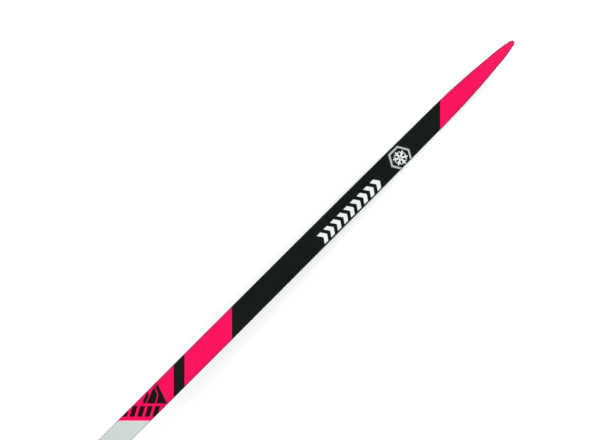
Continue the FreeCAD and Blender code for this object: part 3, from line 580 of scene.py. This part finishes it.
def sidewall_mesh(name, side):
    """Rectangle section between the two sheets, its outer face on the ski's side line."""
    x = stations_between(*CORE_X)[:, None]
    outer = half_width(x)
    inner = outer - SIDEWALL_T
    low, high = core_low(x), core_high(x)
    middle = (low + high) / 2
    y = side * np.concatenate([inner, outer, outer, outer, inner, inner], 1)
    z = np.concatenate([low, low, middle, high, high, middle], 1)
    return tube_mesh(name, x, y, z)


for name, side in (("sidewall_left", 1), ("sidewall_right", -1)):
    wall = sidewall_mesh(name + "_planed", side)
    add_piece(name + "_planed", wall, "ski", wall_black, [name])

# ---------------------------------------------------------------- upper laminate
# The second glass sheet, over core and sidewalls. Its rim is left bare beside the printed film and planed
# round, so the print has a thin dark border.

GLASS_RIM = 0.0005
cloth_low, cloth_high = below_top(SHEET_T + LAMINATE_T), below_top(SHEET_T + GAP)
upper_glass = sheet_mesh("upper_laminate_cloth", GUARD_X, TIP_X, cloth_low, cloth_high, rim=GLASS_RIM)
add_piece("upper_laminate_cloth", upper_glass, "ski", wall_black, ["upper_laminate"])

# ---------------------------------------------------------------- topsheet
# A 0.6 mm film of clear nylon printed on its underside in bright pink, black and pale grey, bonded on last.
# Its colour fields meet on slanted cuts. Its upper edges are scraped round and get scuffed first.

# The film's scraped rims are also painted darker, partly for the dark layer the scraping bares and partly as
# painted shade on the rounded edge.
BORDER_BARE, GREY_BARE = 0.0010, 0.0005
FILM_RIM = 0.00045
LIGHT = 1.25


def srgb(red, green, blue):
    """Linear colour from screen values 0 to 255, divided by the light on it so that it shows as given."""
    values = np.array([red, green, blue]) / 255.0
    linear = np.where(values <= 0.04045, values / 12.92, ((values + 0.055) / 1.055) ** 2.4)
    return tuple(float(v) for v in linear / LIGHT)


def wear_group():
    """Scattered fine scratches from stretched noise, cloudy haze, and nicks where the rim attribute is 1."""
    group, given, result = new_group(
        "film_wear",
        [("Rim", "NodeSocketFloat", 0.0), ("Scratch Amount", "NodeSocketFloat", 0.2)],
        [("Scratches", "NodeSocketFloat"), ("Haze", "NodeSocketFloat"), ("Nicks", "NodeSocketFloat")],
    )
    drawn = noise(group, stretched_place(group, (9.0, 700.0, 700.0)), 1.0, 5.0, 0.75)
    amount = sums(group, "MULTIPLY", remap(group, drawn, 0.62, 0.74), given["Scratch Amount"])
    group.links.new(amount, result["Scratches"])
    place = group.nodes.new("ShaderNodeTexCoord").outputs["Object"]
    group.links.new(noise(group, place, 11.0, 4.0, 0.6), result["Haze"])
    bites = remap(group, noise(group, place, 260.0, 3.0, 0.7), 0.60, 0.66)
    group.links.new(sums(group, "MULTIPLY", bites, given["Rim"]), result["Nicks"])
    return group


FILM_WEAR = wear_group()


def film_material(name, colour, scratched, rim_layer_and_shade_tone, haze=0.05):
    """Glossy film over print: near even colour, hazy gloss, hair scratches, pale nicks, and a rim painted
    darker for the bared dark layer and as painted shade.
    """
    material, shader = plain_material(name, colour, 0.3)
    tree = material.node_tree
    shader.inputs["Specular IOR Level"].default_value = 0.16
    rim = tree.nodes.new("ShaderNodeAttribute")
    rim.attribute_name = "rim"
    effect = use_group(tree, FILM_WEAR, Rim=rim.outputs["Fac"], Scratch_Amount=0.22)
    deeper = tuple(c * (1 - haze) for c in colour)
    tone = mix_colour(tree, remap(tree, effect["Haze"], 0.2, 0.8), deeper, colour)
    tone = mix_colour(tree, effect["Scratches"], tone, scratched)
    # Painted shade: the rim takes a darker tone, partly the dark layer bared by scraping and partly shade
    # painted on the rounded edge.
    tone = mix_colour(tree, rim.outputs["Fac"], tone, rim_layer_and_shade_tone)
    tone = mix_colour(tree, sums(tree, "MULTIPLY", effect["Nicks"], 0.3), tone, scratched)
    tree.links.new(tone, shader.inputs["Base Color"])
    gloss = remap(tree, effect["Haze"], 0.2, 0.8, 0.25, 0.38)
    gloss = sums(tree, "ADD", gloss, sums(tree, "MULTIPLY", effect["Scratches"], 0.8))
    tree.links.new(gloss, shader.inputs["Roughness"])
    bump(tree, shader, effect["Haze"], 1e-4, 0.15)
    return material


PINK = srgb(254, 2, 94)
BLACK = srgb(12, 18, 18)
GREY = srgb(209, 219, 216)
# Each film's last colour is its rim tone: the bared dark layer plus painted shade on the rounded edge.
film_pink = film_material("film_pink", PINK, srgb(255, 90, 140), srgb(120, 5, 50))
film_black = film_material("film_black", BLACK, srgb(70, 74, 76), srgb(20, 22, 24), 0.15)
film_grey = film_material("film_grey", GREY, srgb(225, 230, 229), srgb(130, 136, 135))
film_line = film_material("film_line", srgb(252, 205, 218), srgb(240, 240, 240), srgb(190, 120, 140))

GREY_ENDS = (-0.4695, 0.0353)
BORDER_CHANGE = 0.006


def bare_border(x, side):
    """Width of the uncovered rim, narrower beside grey; 3t^2 - 2t^3 over the change at each slanted cut."""
    out = side * half_width(x)
    beyond = np.maximum(x + out - GREY_ENDS[1], GREY_ENDS[0] - x + out)
    share = np.clip(beyond / BORDER_CHANGE + 0.5, 0, 1)
    return GREY_BARE + (BORDER_BARE - GREY_BARE) * share * share * (3 - 2 * share)


def field_mesh(name, start, start_slant, stop, stop_slant):
    """Rows cross the ski on lines x = X + slant * y; columns keep their share of the half width."""
    at = stations_between(start, stop, step=0.004)[:, None]
    slant = start_slant + (stop_slant - start_slant) * (at - start) / (stop - start)
    turn = np.linspace(math.pi / 2, 0, 5)
    under = np.linspace(-1, 1, 9)
    over = np.linspace(0.94, -0.94, 9)
    inner = np.concatenate([under, np.ones(5), over, -np.ones(5)])
    outer = np.concatenate([under, np.sin(turn), 0 * over, -np.sin(turn[::-1])])
    drop = np.concatenate([0 * under, 1 - np.cos(turn), 0 * over, 1 - np.cos(turn[::-1])])
    x = at + np.zeros_like(inner)
    for _ in range(6):
        half = half_width(x, bare_border(x, np.sign(inner)))
        rim = np.minimum(FILM_RIM, 0.45 * half)
        y = inner * (half - rim) + outer * rim
        x = at + slant * y
    low, high = below_top(SHEET_T)(x), top_height(x) - drop * rim
    z = np.where(np.arange(len(inner)) < len(under), low, high)
    return tube_mesh(name, x, y, z)


def print_field(name, material, start, start_slant, stop, stop_slant):
    """One colour field of the printed film as a closed sheet, with its rim marked for the painted edge shade
    and for wear.
    """
    mesh = field_mesh(name, start, start_slant, stop, stop_slant)
    spots = np.empty(len(mesh.vertices) * 3)
    mesh.vertices.foreach_get("co", spots)
    spots = spots.reshape(-1, 3)
    bare = bare_border(spots[:, 0], np.sign(spots[:, 1]))
    on_rim = np.abs(spots[:, 1]) > half_width(spots[:, 0], bare + FILM_RIM * 0.9)
    mesh.attributes.new("rim", "FLOAT", "POINT").data.foreach_set("value", on_rim * 1.0)
    return add_piece(name, mesh, "ski", material, ["topsheet"])


# From the tip back: where each cut crosses the middle and its slant, and the field behind it.
CUTS = [
    (TIP_X - BORDER_BARE, 0.0), (0.8392, 1.0), (0.293, 1.0), (0.1692, 1.0), (0.1407, 1.0), (0.0378, -1.0),
    (GREY_ENDS[1], -1.0), (GREY_ENDS[0], 1.0), (-0.472, 1.0), (-0.574, -1.0), (-0.600, -1.0), (-0.700, -1.0),
    (-0.930, -1.0), (GUARD_X, 0.0),
]
FIELDS = [
    ("field_tip_pink", film_pink), ("field_front_black", film_black), ("field_front_pink", film_pink),
    ("field_front_stripe", film_black), ("field_waist_pink", film_pink), ("field_waist_line", film_line),
    ("field_platform_grey", film_grey), ("field_rear_line", film_line), ("field_rear_pink", film_pink),
    ("field_rear_stripe", film_black), ("field_rear_pink_end", film_pink), ("field_rear_black", film_black),
    ("field_tail_pink", film_pink),
]
for field, front_cut, rear_cut in zip(FIELDS, CUTS, CUTS[1:]):
    print_field(*field, *rear_cut, *front_cut)

# ---------------------------------------------------------------- printed marks
# Ornaments in the same print: a hexagon ring with a snow crystal, a row of chevrons, a mountain and a row of
# slashes. Each is a thin layer of ink. The ones that reach the film's edge are trimmed off there with it.

INK_T, INK_PROUD = 0.00010, 0.00004
INK_STEPS, INK_SHARE = 7, 0.9994


def trimmed(corners, limit):
    """Cuts a convex polygon off at y = -limit and y = limit, edge by edge."""
    for side in (1, -1):
        kept = []
        for (x0, y0), (x1, y1) in zip(corners, corners[1:] + corners[:1]):
            in0, in1 = side * y0 <= limit, side * y1 <= limit
            if in0:
                kept.append((x0, y0))
            if in0 != in1:
                share = (side * limit - y0) / (y1 - y0)
                kept.append((x0 + share * (x1 - x0), side * limit))
        corners = kept
        if not corners:
            return []
    return corners


def as_quads(corners):
    """A convex polygon as quads that share its first corner; the last may be a triangle."""
    quads = []
    for first in range(1, len(corners) - 1, 2):
        last = corners[min(first + 2, len(corners) - 1)]
        quads.append([corners[0], corners[first], corners[first + 1], last])
    return quads


def ink_mesh(name, shapes, limit):
    """Each quad is a bilinear grid laid on the film, closed below; a hair's gap keeps neighbours apart."""
    quads = np.array([q for shape in shapes for q in as_quads(trimmed(shape, limit))])
    middle = quads.mean(1, keepdims=True)
    quads = middle + (quads - middle) * INK_SHARE
    s, t = np.meshgrid(np.linspace(0, 1, INK_STEPS), np.linspace(0, 1, INK_STEPS), indexing="ij")
    weights = np.stack([(1 - s) * (1 - t), s * (1 - t), s * t, (1 - s) * t], -1)
    plan = np.einsum("ijk,qkc->qijc", weights, quads)
    x, y = plan[..., 0], plan[..., 1]
    top = np.stack([x, y, top_height(x) + INK_PROUD], -1)
    low = np.stack([x, y, top_height(x) + INK_PROUD - INK_T], -1)
    points = np.stack([top, low], 1).reshape(len(quads), -1, 3)
    index = np.arange(INK_STEPS * INK_STEPS).reshape(INK_STEPS, INK_STEPS)
    face = np.stack([index[:-1, :-1], index[1:, :-1], index[1:, 1:], index[:-1, 1:]], -1).reshape(-1, 4)
    rim = np.concatenate([index[:, 0], index[-1, 1:], index[-2::-1, -1], index[0, -2::-1]])
    below = INK_STEPS * INK_STEPS
    wall = np.stack([rim[:-1], rim[1:], rim[1:] + below, rim[:-1] + below], -1)
    one = np.concatenate([face, face[:, ::-1] + below, wall])
    faces = (one + 2 * below * np.arange(len(quads))[:, None, None]).reshape(-1, 4)
    return closed_mesh(name, points, faces.tolist())


def on_the_diagonal(middle_x, middle_y, corners):
    """Corners given right and up along the diagonals of X and Y, as places on the ski."""
    root = math.sqrt(0.5)
    return [(middle_x + (r + u) * root, middle_y + (u - r) * root) for r, u in corners]


def along_ski(middle_x, middle_y, corners):
    """Corners given along and across the ski, as places on it."""
    return [(middle_x + a, middle_y + b) for a, b in corners]


def hexagon_ring(middle_x, middle_y, outer, inner):
    """Six mitred bars between two hexagons, two corners of each on the ski's axis."""
    turn = np.radians(np.arange(7) * 60.0)
    ring = []
    for a, b in zip(turn, turn[1:]):
        corners = [(outer, a), (outer, b), (inner, b), (inner, a)]
        ring.append([(middle_x + r * math.cos(t), middle_y + r * math.sin(t)) for r, t in corners])
    return ring


TWIG = [(0.50, 0.0), (0.66, 0.0), (0.86, 0.26), (0.74, 0.32)]


def crystal(middle_x, middle_y, reach, half):
    """Six tapering arms, each with two short side twigs."""
    shapes = []
    for angle in np.radians(np.arange(6) * 60.0 + 30.0):
        c, s = math.cos(angle), math.sin(angle)
        arm = [(0.1 * half, -half), (reach, -half * 0.7), (reach, half * 0.7), (0.1 * half, half)]
        twigs = [[(a * reach, side * (b * reach + half * 0.5)) for a, b in TWIG] for side in (1, -1)]
        for shape in (arm, *twigs):
            shapes.append(along_ski(middle_x, middle_y, [(a * c - b * s, a * s + b * c) for a, b in shape]))
    return shapes


def ink_piece(name, shapes, material, middle_x):
    """One printed mark, trimmed to the film's width at its middle."""
    limit = float(half_width(np.array(middle_x), BORDER_BARE + FILM_RIM))
    mesh = ink_mesh(name, shapes, limit)
    return add_piece(name, mesh, "ski", material, ["topsheet"])


ink_silver = film_material("ink_silver", srgb(183, 190, 187), srgb(215, 220, 218), srgb(150, 155, 153))
ink_white = film_material("ink_white", srgb(240, 246, 244), srgb(200, 205, 204), srgb(220, 225, 224))
ink_black = film_material("ink_black", srgb(22, 8, 14), srgb(90, 40, 58), srgb(22, 8, 14), 0.15)

EMBLEM_X, EMBLEM_Y = 0.730, -0.0045
RING_OUTER, RING_INNER, CRYSTAL_REACH, CRYSTAL_HALF = 0.0235, 0.0192, 0.0140, 0.0019
ring = hexagon_ring(EMBLEM_X, EMBLEM_Y, RING_OUTER, RING_INNER)
ink_piece("mark_ring", ring, ink_silver, EMBLEM_X)
snow = crystal(EMBLEM_X, EMBLEM_Y, CRYSTAL_REACH, CRYSTAL_HALF)
ink_piece("mark_crystal", snow, ink_white, EMBLEM_X)

CHEVRON_X, CHEVRON_Y, CHEVRONS = 0.5955, -0.0077, 9
CHEVRON_PITCH, CHEVRON_HALF, CHEVRON_HALF_HIGH, CHEVRON_POINT = 0.01735, 0.0046, 0.0105, 0.0072
chevrons = []
for number in range(CHEVRONS):
    point_x = CHEVRON_X + (number - CHEVRONS // 2) * CHEVRON_PITCH + CHEVRON_POINT / 2
    for side in (1, -1):
        chevrons.append(along_ski(point_x, CHEVRON_Y, [
            (-CHEVRON_HALF, 0.0), (CHEVRON_HALF, 0.0),
            (CHEVRON_HALF - CHEVRON_POINT, side * CHEVRON_HALF_HIGH),
            (-CHEVRON_HALF - CHEVRON_POINT, side * CHEVRON_HALF_HIGH),
        ]))
ink_piece("mark_chevrons", chevrons, ink_white, CHEVRON_X)

# Right and up in millimetres: the sunlit face, the shaded face beside a slit, and a lower peak in front.
MOUNTAIN_X, MOUNTAIN_Y = 0.102, 0.0096
MOUNTAIN = [
    [(2.0, 20.5), (-1.0, 8.0), (-3.5, 8.0)],
    [(-3.5, 8.0), (-1.0, 8.0), (4.0, -4.0), (-8.8, -4.0)],
    [(-8.8, -4.0), (4.0, -4.0), (0.0, -20.5), (-16.0, -20.5)],
    [(3.4, 17.6), (0.8, 8.0), (8.1, 8.0)],
    [(0.8, 8.0), (8.1, 8.0), (14.0, -4.0), (5.8, -4.0)],
    [(5.8, -4.0), (14.0, -4.0), (22.0, -20.5), (1.9, -20.5)],
    [(-14.0, 1.5), (-22.0, -14.0), (-22.0, -20.5), (-18.0, -20.5), (-11.2, -5.2)],
]
mountain = [
    on_the_diagonal(MOUNTAIN_X, MOUNTAIN_Y, [(r / 1000, u / 1000) for r, u in face]) for face in MOUNTAIN
]
ink_piece("mark_mountain", mountain, ink_black, MOUNTAIN_X)

SLASH_X, SLASH_Y = 0.064, -0.0017
SLASH_PITCH, SLASH_HALF, SLASH_HALF_HIGH, SLASH_LEAN = 0.0140, 0.0045, 0.0100, 0.0030
slashes = []
for right in (np.arange(6) - 2.5) * SLASH_PITCH:
    foot, head = right - SLASH_LEAN, right + SLASH_LEAN
    slashes.append(on_the_diagonal(SLASH_X, SLASH_Y, [
        (foot - SLASH_HALF, -SLASH_HALF_HIGH), (foot + SLASH_HALF, -SLASH_HALF_HIGH),
        (head + SLASH_HALF, SLASH_HALF_HIGH), (head - SLASH_HALF, SLASH_HALF_HIGH),
    ]))
ink_piece("mark_slashes", slashes, ink_black, SLASH_X)

# ---------------------------------------------------------------- tail guard
# A moulded black plastic cap closes the beam's end and takes the knocks when the ski is stood on its tail. It
# is bonded on, its corners follow the rounded outline and its upper edges are broken.

GUARD_CLEAR, GUARD_RIM = 0.0001, 0.0012
guard = sheet_mesh("tail_guard_cap", TAIL_X, GUARD_X - GUARD_CLEAR, base_height, top_height, rim=GUARD_RIM)
guard_black = lined_material(
    "tail_guard_plastic", (0.012, 0.012, 0.013), (0.045, 0.046, 0.048), (0.35, 0.55), 4e-5, 0.35
)
add_piece("tail_guard_cap", guard, "ski", guard_black, ["tail_guard"])

# ---------------------------------------------------------------- grip skin
# A strip of mohair on a woven backing tape, laid in the base's window under the foot. Its hairs lie toward
# the tail: they slide forward and grip backward. A wedge-nosed plastic shield keeps snow from lifting it.

NOSE_X = SKIN_X[1] - 0.028
SKIN_EDGE, PILE_EDGE = 0.0156, 0.0151
BACKING_TOP, BACKING_T, PILE_PROUD = 0.00118, 0.0006, 0.0006
WINDOW_CLEAR, PILE_CLEAR, NOSE_CLEAR = 0.0004, 0.0009, 0.0003


def strip_mesh(name, low_x, high_x, low, high, half, soft=0.0, step=0.002, columns=25):
    """A strip of even width; soft is the radius of the quarter circles along its lower edges."""
    x = stations_between(low_x, high_x, step=step)[:, None]
    share = np.linspace(-1, 1, columns)
    y = half * np.sin(share * math.pi / 2)
    edge = np.maximum(np.abs(y) - (half - soft), 0) / max(soft, 1e-9)
    lifted = soft * (1 - np.sqrt(np.maximum(1 - edge**2, 0)))
    ends = np.minimum(np.minimum(x - low_x, high_x - x) / max(soft, 1e-9), 1)
    lifted = lifted + soft * (1 - np.sqrt(np.maximum(1 - (1 - ends) ** 2, 0)))
    under = low(x) + np.minimum(lifted, 0.95 * (high(x) - low(x)))
    over = high(x) + np.zeros((1, columns))
    return tube_mesh(name, x, np.concatenate([y, y[::-1]]), np.concatenate([under, over], 1), 50.0)


def tape_material():
    """Woven tape: crossed sine threads, warp and weft, each at 0.5 mm."""
    material, shader = plain_material("skin_tape", (0.16, 0.16, 0.17), 0.85)
    tree = material.node_tree
    threads = []
    for axis in ("X", "Y"):
        wave = tree.nodes.new("ShaderNodeTexWave")
        wave.bands_direction = axis
        wave.inputs["Scale"].default_value = 320.0
        wave.inputs["Distortion"].default_value = 0.6
        tree.links.new(tree.nodes.new("ShaderNodeTexCoord").outputs["Object"], wave.inputs["Vector"])
        threads.append(wave.outputs["Fac"])
    weave = sums(tree, "MAXIMUM", *threads)
    tone = mix_colour(tree, weave, (0.09, 0.09, 0.10), (0.24, 0.24, 0.25))
    tree.links.new(tone, shader.inputs["Base Color"])
    bump(tree, shader, weave, 1e-4)
    return material


def mohair_material():
    """Mohair: tufts from stretched noise along X, paler tips, strong sheen, deep soft relief."""
    material, shader = plain_material("mohair", (0.80, 0.76, 0.67), 0.9)
    tree = material.node_tree
    shader.inputs["Sheen Weight"].default_value = 0.7
    shader.inputs["Sheen Roughness"].default_value = 0.4
    hairs = noise(tree, stretched_place(tree, (260.0, 2600.0, 900.0)), 1.0, 4.0, 0.7)
    tufts = noise(tree, stretched_place(tree, (70.0, 160.0, 160.0)), 1.0, 3.0)
    tone = mix_colour(tree, remap(tree, hairs, 0.35, 0.68), (0.52, 0.47, 0.38), (0.86, 0.82, 0.72))
    tone = mix_colour(tree, remap(tree, tufts, 0.45, 0.7, 0.0, 0.35), tone, (0.92, 0.90, 0.84))
    tree.links.new(tone, shader.inputs["Base Color"])
    bump(tree, shader, hairs, 3e-4, 0.9)
    return material


tape = strip_mesh(
    "skin_tape", SKIN_X[0] + WINDOW_CLEAR, NOSE_X - NOSE_CLEAR,
    above_base(BACKING_TOP - BACKING_T), above_base(BACKING_TOP), SKIN_EDGE, step=0.005, columns=5,
)
add_piece("skin_tape", tape, "ski", tape_material(), ["skin_backing"])

pile = strip_mesh(
    "skin_mohair", SKIN_X[0] + PILE_CLEAR, NOSE_X - NOSE_CLEAR,
    above_base(-PILE_PROUD), above_base(BACKING_TOP - BACKING_T - GAP), PILE_EDGE, soft=0.0007,
)
add_piece("skin_mohair", pile, "ski", mohair_material(), ["skin_pile"])

NOSE_RIB, NOSE_RIB_PITCH = 0.00012, 0.004


def nose_mesh(name):
    """Shield: narrower over the cut corners; its lower face slopes up 0.3 mm to a blunt front edge."""
    front = SKIN_X[1] - WINDOW_CLEAR
    x = stations_between(NOSE_X, front, step=0.001)[:, None]
    cut = np.clip((x - SKIN_CUT_X) / (SKIN_X[1] - SKIN_CUT_X), 0, 1)
    half = SKIN_EDGE - (SKIN_EDGE - SKIN_FRONT_HALF) * cut
    slope = np.clip((x - NOSE_X) / (front - NOSE_X), 0, 1)
    share = np.linspace(-1, 1, 17)
    ribbed = np.sin((x - NOSE_X) / NOSE_RIB_PITCH * 2 * math.pi) > 0
    ribs = NOSE_RIB * ribbed * (np.abs(share) < 0.7) * (slope < 0.6)
    rounded = 0.0004 * np.abs(share) ** 8 + 0.0003 * slope**3
    under = base_height(x) + 0.00002 + rounded + ribs
    over = above_base(BACKING_TOP)(x) + 0 * share
    y = np.concatenate([half * share, half * share[::-1]], 1)
    return tube_mesh(name, x, y, np.concatenate([under, over], 1), 40.0)


def grain_group():
    """Moulded skin: fine grain for relief, clouds for uneven gloss, and short scuffs lying two ways."""
    group, given, result = new_group(
        "moulded_grain",
        [("Grain Size", "NodeSocketFloat", 1400.0), ("Scuff Amount", "NodeSocketFloat", 0.3)],
        [("Grain", "NodeSocketFloat"), ("Clouds", "NodeSocketFloat"), ("Scuffs", "NodeSocketFloat")],
    )
    place = group.nodes.new("ShaderNodeTexCoord").outputs["Object"]
    group.links.new(noise(group, place, given["Grain Size"], 3.0, 0.6), result["Grain"])
    group.links.new(noise(group, place, 45.0, 4.0), result["Clouds"])
    lengthwise = noise(group, stretched_place(group, (60.0, 1500.0, 1500.0)), 1.0, 4.0, 0.7)
    crosswise = noise(group, stretched_place(group, (1500.0, 70.0, 1500.0)), 1.0, 4.0, 0.7)
    both = remap(group, sums(group, "MAXIMUM", lengthwise, crosswise), 0.66, 0.76)
    group.links.new(sums(group, "MULTIPLY", both, given["Scuff Amount"]), result["Scuffs"])
    return group


MOULDED_GRAIN = grain_group()


def moulded_material(name, colour, scuffed, roughness, depth, grain_size=1400.0, scuffs=0.3, specular=0.5):
    """Injection-moulded plastic or rubber: cloudy tone and gloss, fine grain, pale scuffs."""
    material, shader = plain_material(name, colour, sum(roughness) / 2)
    tree = material.node_tree
    shader.inputs["Specular IOR Level"].default_value = specular
    effect = use_group(tree, MOULDED_GRAIN, Grain_Size=grain_size, Scuff_Amount=scuffs)
    cloudy = remap(tree, effect["Clouds"], 0.3, 0.7)
    grain = remap(tree, effect["Grain"], 0.35, 0.7, 0.0, 0.25)
    deep, dark, pale = (tuple(min(1.0, c * share) for c in colour) for share in (0.7, 0.88, 1.08))
    tone = mix_colour(tree, grain, mix_colour(tree, cloudy, dark, pale), deep)
    tone = mix_colour(tree, effect["Scuffs"], tone, scuffed)
    tree.links.new(tone, shader.inputs["Base Color"])
    gloss = remap(tree, effect["Clouds"], 0.3, 0.7, *roughness)
    gloss = sums(tree, "ADD", gloss, sums(tree, "MULTIPLY", effect["Scuffs"], 0.3))
    tree.links.new(gloss, shader.inputs["Roughness"])
    bump(tree, shader, effect["Grain"], depth)
    return material


nose_grey = moulded_material(
    "skin_nose_plastic", (0.055, 0.057, 0.062), (0.20, 0.20, 0.21), (0.3, 0.42), 2e-5
)
shield = nose_mesh("skin_nose_shield")
add_piece("skin_nose_shield", shield, "ski", nose_grey, ["skin_nose"])

# ---------------------------------------------------------------- rail plates
# Two plates of glass-filled nylon, glued to the topsheet. Their heads overhang, so the toe and heel units
# hook under them, and a toothed rack down the middle lets each unit lock every 5 mm.

platform_rise = float(top_height(np.array(PLATFORM_X[1])) - top_height(np.array(PLATFORM_X[0])))
PLATFORM_TILT = math.atan2(platform_rise, PLATFORM_X[1] - PLATFORM_X[0])
BAR_X = -0.120
BAR_Z = float(top_height(np.array(BAR_X)))


def on_platform(u, v, w):
    """Places given along, across and square to the platform, counted from under the boot bar."""
    c, s = math.cos(PLATFORM_TILT), math.sin(PLATFORM_TILT)
    return np.stack(np.broadcast_arrays(BAR_X + u * c - w * s, v, BAR_Z + u * s + w * c), -1)


def eased(node, name, material, radius, turn=28.0, segments=2):
    """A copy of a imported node, merged and with its corners rounded off; it stands for the node."""
    mesh = frame["nodes"][node].data.copy()
    mesh.name = name
    mesh.materials.clear()
    build = bmesh.new()
    build.from_mesh(mesh)
    bmesh.ops.remove_doubles(build, verts=build.verts, dist=3e-6)
    bmesh.ops.dissolve_limit(
        build, angle_limit=math.radians(1.0), verts=build.verts, edges=build.edges, delimit={"NORMAL"}
    )
    bmesh.ops.recalc_face_normals(build, faces=build.faces)
    build.to_mesh(mesh)
    build.free()
    mesh.shade_smooth()
    mesh.set_sharp_from_angle(angle=math.radians(turn))
    piece = add_piece(name, mesh, frame["nodes"][node]["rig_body"], material, [node])
    rounding = piece.modifiers.new("rounded_corners", "BEVEL")
    rounding.width = radius
    rounding.segments = segments
    rounding.limit_method = "ANGLE"
    rounding.angle_limit = math.radians(turn)
    rounding.harden_normals = True
    return piece


rail_grey = moulded_material(
    "rail_nylon", (0.105, 0.110, 0.115), (0.30, 0.31, 0.32), (0.40, 0.55), 4e-5, 900.0
)
for node in ("rail_plate_front", "rail_plate_rear"):
    eased(node, node + "_moulded", rail_grey, 0.00025)

RAIL_TOP_W, SCALE_V = 0.0050, (0.0075, 0.0105)
SCALE_PITCH, SCALE_HALF, SCALE_PROUD = 0.005, 0.00025, 0.00012


def scale_mesh(name, ticks):
    """Moulded lines across u, one box at each tick on both sides, half sunk in the rail's head."""
    corner = np.array([(u, v, w) for u in (-1, 1) for v in (0, 1) for w in (-1, 1)])
    u = ticks[:, None] + corner[:, 0] * SCALE_HALF
    v = np.array(SCALE_V)[corner[:, 1]] * np.ones_like(u)
    w = RAIL_TOP_W + corner[:, 2] * SCALE_PROUD + 0 * u
    points = np.concatenate([on_platform(u, v, w), on_platform(u, -v, w)])
    box = np.array([(0, 1, 3, 2), (4, 6, 7, 5), (0, 4, 5, 1), (2, 3, 7, 6), (0, 2, 6, 4), (1, 5, 7, 3)])
    faces = (box + 8 * np.arange(len(points))[:, None, None]).reshape(-1, 4)
    return closed_mesh(name, points, faces.tolist())


scale_pale = moulded_material("scale_ink", (0.42, 0.43, 0.43), (0.20, 0.20, 0.21), (0.35, 0.5), 2e-5)
for end, low, high in (("front", -0.075, 0.055), ("rear", -0.280, -0.105)):
    ticks = np.arange(round((high - low) / SCALE_PITCH) + 1) * SCALE_PITCH + low
    scale = scale_mesh("rail_scale_" + end, ticks)
    add_piece("rail_scale_" + end, scale, "ski", scale_pale, ["rail_plate_" + end])

# ---------------------------------------------------------------- toe unit
# Black nylon base that slides on the front rail, two soft pads under the boot's ball, a steel leaf that locks
# it to the rack, the dial's steel post and its click spring, and a pale cover held by four screws.

unit_black = moulded_material(
    "unit_nylon", (0.013, 0.0135, 0.0145), (0.075, 0.077, 0.080), (0.36, 0.52), 5e-5
)
cover_white = moulded_material(
    "cover_nylon", (0.62, 0.64, 0.64), (0.40, 0.41, 0.42), (0.28, 0.40), 2e-5, 1800.0, 0.15
)
soft_black = moulded_material(
    "pad_rubber", (0.018, 0.018, 0.019), (0.055, 0.055, 0.057), (0.72, 0.88), 9e-5, 1100.0, 0.4, 0.3
)


def steel_material(name, colour, roughness, density=1.0):
    """Rolled steel: fine lines in gloss and relief, a faint cloudy tarnish in the colour."""
    material, shader = plain_material(name, colour, sum(roughness) / 2)
    tree = material.node_tree
    shader.inputs["Metallic"].default_value = 1.0
    effect = use_group(tree, FINE_LINES, Density=density)
    stained = tuple(c * 0.72 for c in colour)
    tone = mix_colour(tree, remap(tree, effect["Bloom"], 0.35, 0.75), colour, stained)
    tree.links.new(tone, shader.inputs["Base Color"])
    tree.links.new(remap(tree, effect["Lines"], 0.3, 0.7, *roughness), shader.inputs["Roughness"])
    bump(tree, shader, effect["Lines"], 1e-5)
    return material


bright_steel = steel_material("bright_steel", (0.66, 0.67, 0.68), (0.16, 0.34))
spring_steel = steel_material("spring_steel", (0.36, 0.37, 0.41), (0.22, 0.40))
screw_steel = steel_material("screw_steel", (0.48, 0.48, 0.49), (0.20, 0.36), 0.5)
eased("toe_base", "toe_base_moulded", unit_black, 0.0003)
eased("toe_pads", "toe_pads_rubber", soft_black, 0.0002)
eased("toe_cover", "toe_cover_moulded", cover_white, 0.0004)
for node in ("toe_lock_spring", "click_spring"):
    dress(node, spring_steel)
for node in ("toe_lock_rivet", "dial_post"):
    dress(node, bright_steel)
dress("cover_screws", screw_steel)

# ---------------------------------------------------------------- jaw and flexor
# The steel jaw slides under the cover and closes over the boot's cross bar. A pin pressed in it follows the
# cam. Ahead of the bar a block of firm rubber bends with the boot and pushes it back.

eased("jaw_plate", "jaw_plate_pressed", bright_steel, 0.00015)
dress("follower_pin", bright_steel)
flexor_rubber = moulded_material(
    "flexor_rubber", (0.030, 0.031, 0.034), (0.085, 0.085, 0.09), (0.60, 0.78), 7e-5, 1000.0, 0.3, 0.4
)
eased("flexor", "flexor_moulded", flexor_rubber, 0.0005)

# ---------------------------------------------------------------- dial
# A pink nylon knob screwed to a cam of white acetal that turns on the post. A quarter turn draws the jaw
# back, and that opens the seat of the boot's bar.

dial_pink = moulded_material("dial_nylon", PINK, srgb(255, 120, 160), (0.26, 0.38), 2e-5, 1600.0, 0.25)
cam_white = moulded_material("cam_acetal", (0.74, 0.73, 0.70), (0.55, 0.54, 0.52), (0.25, 0.35), 1e-5)
eased("dial_knob", "dial_knob_moulded", dial_pink, 0.0003)
dress("scroll_cam", cam_white)
dress("dial_screws", screw_steel)

# ---------------------------------------------------------------- heel unit
# The heel's slider is moulded like the toe's and slides on the rear rail. A ribbed rubber pad is glued on for
# the boot's heel, and its own steel leaf locks it.

eased("heel_base", "heel_base_moulded", unit_black, 0.0003)
eased("heel_pad", "heel_pad_rubber", soft_black, 0.00035)
dress("heel_lock_spring", spring_steel)
dress("heel_lock_rivet", bright_steel)
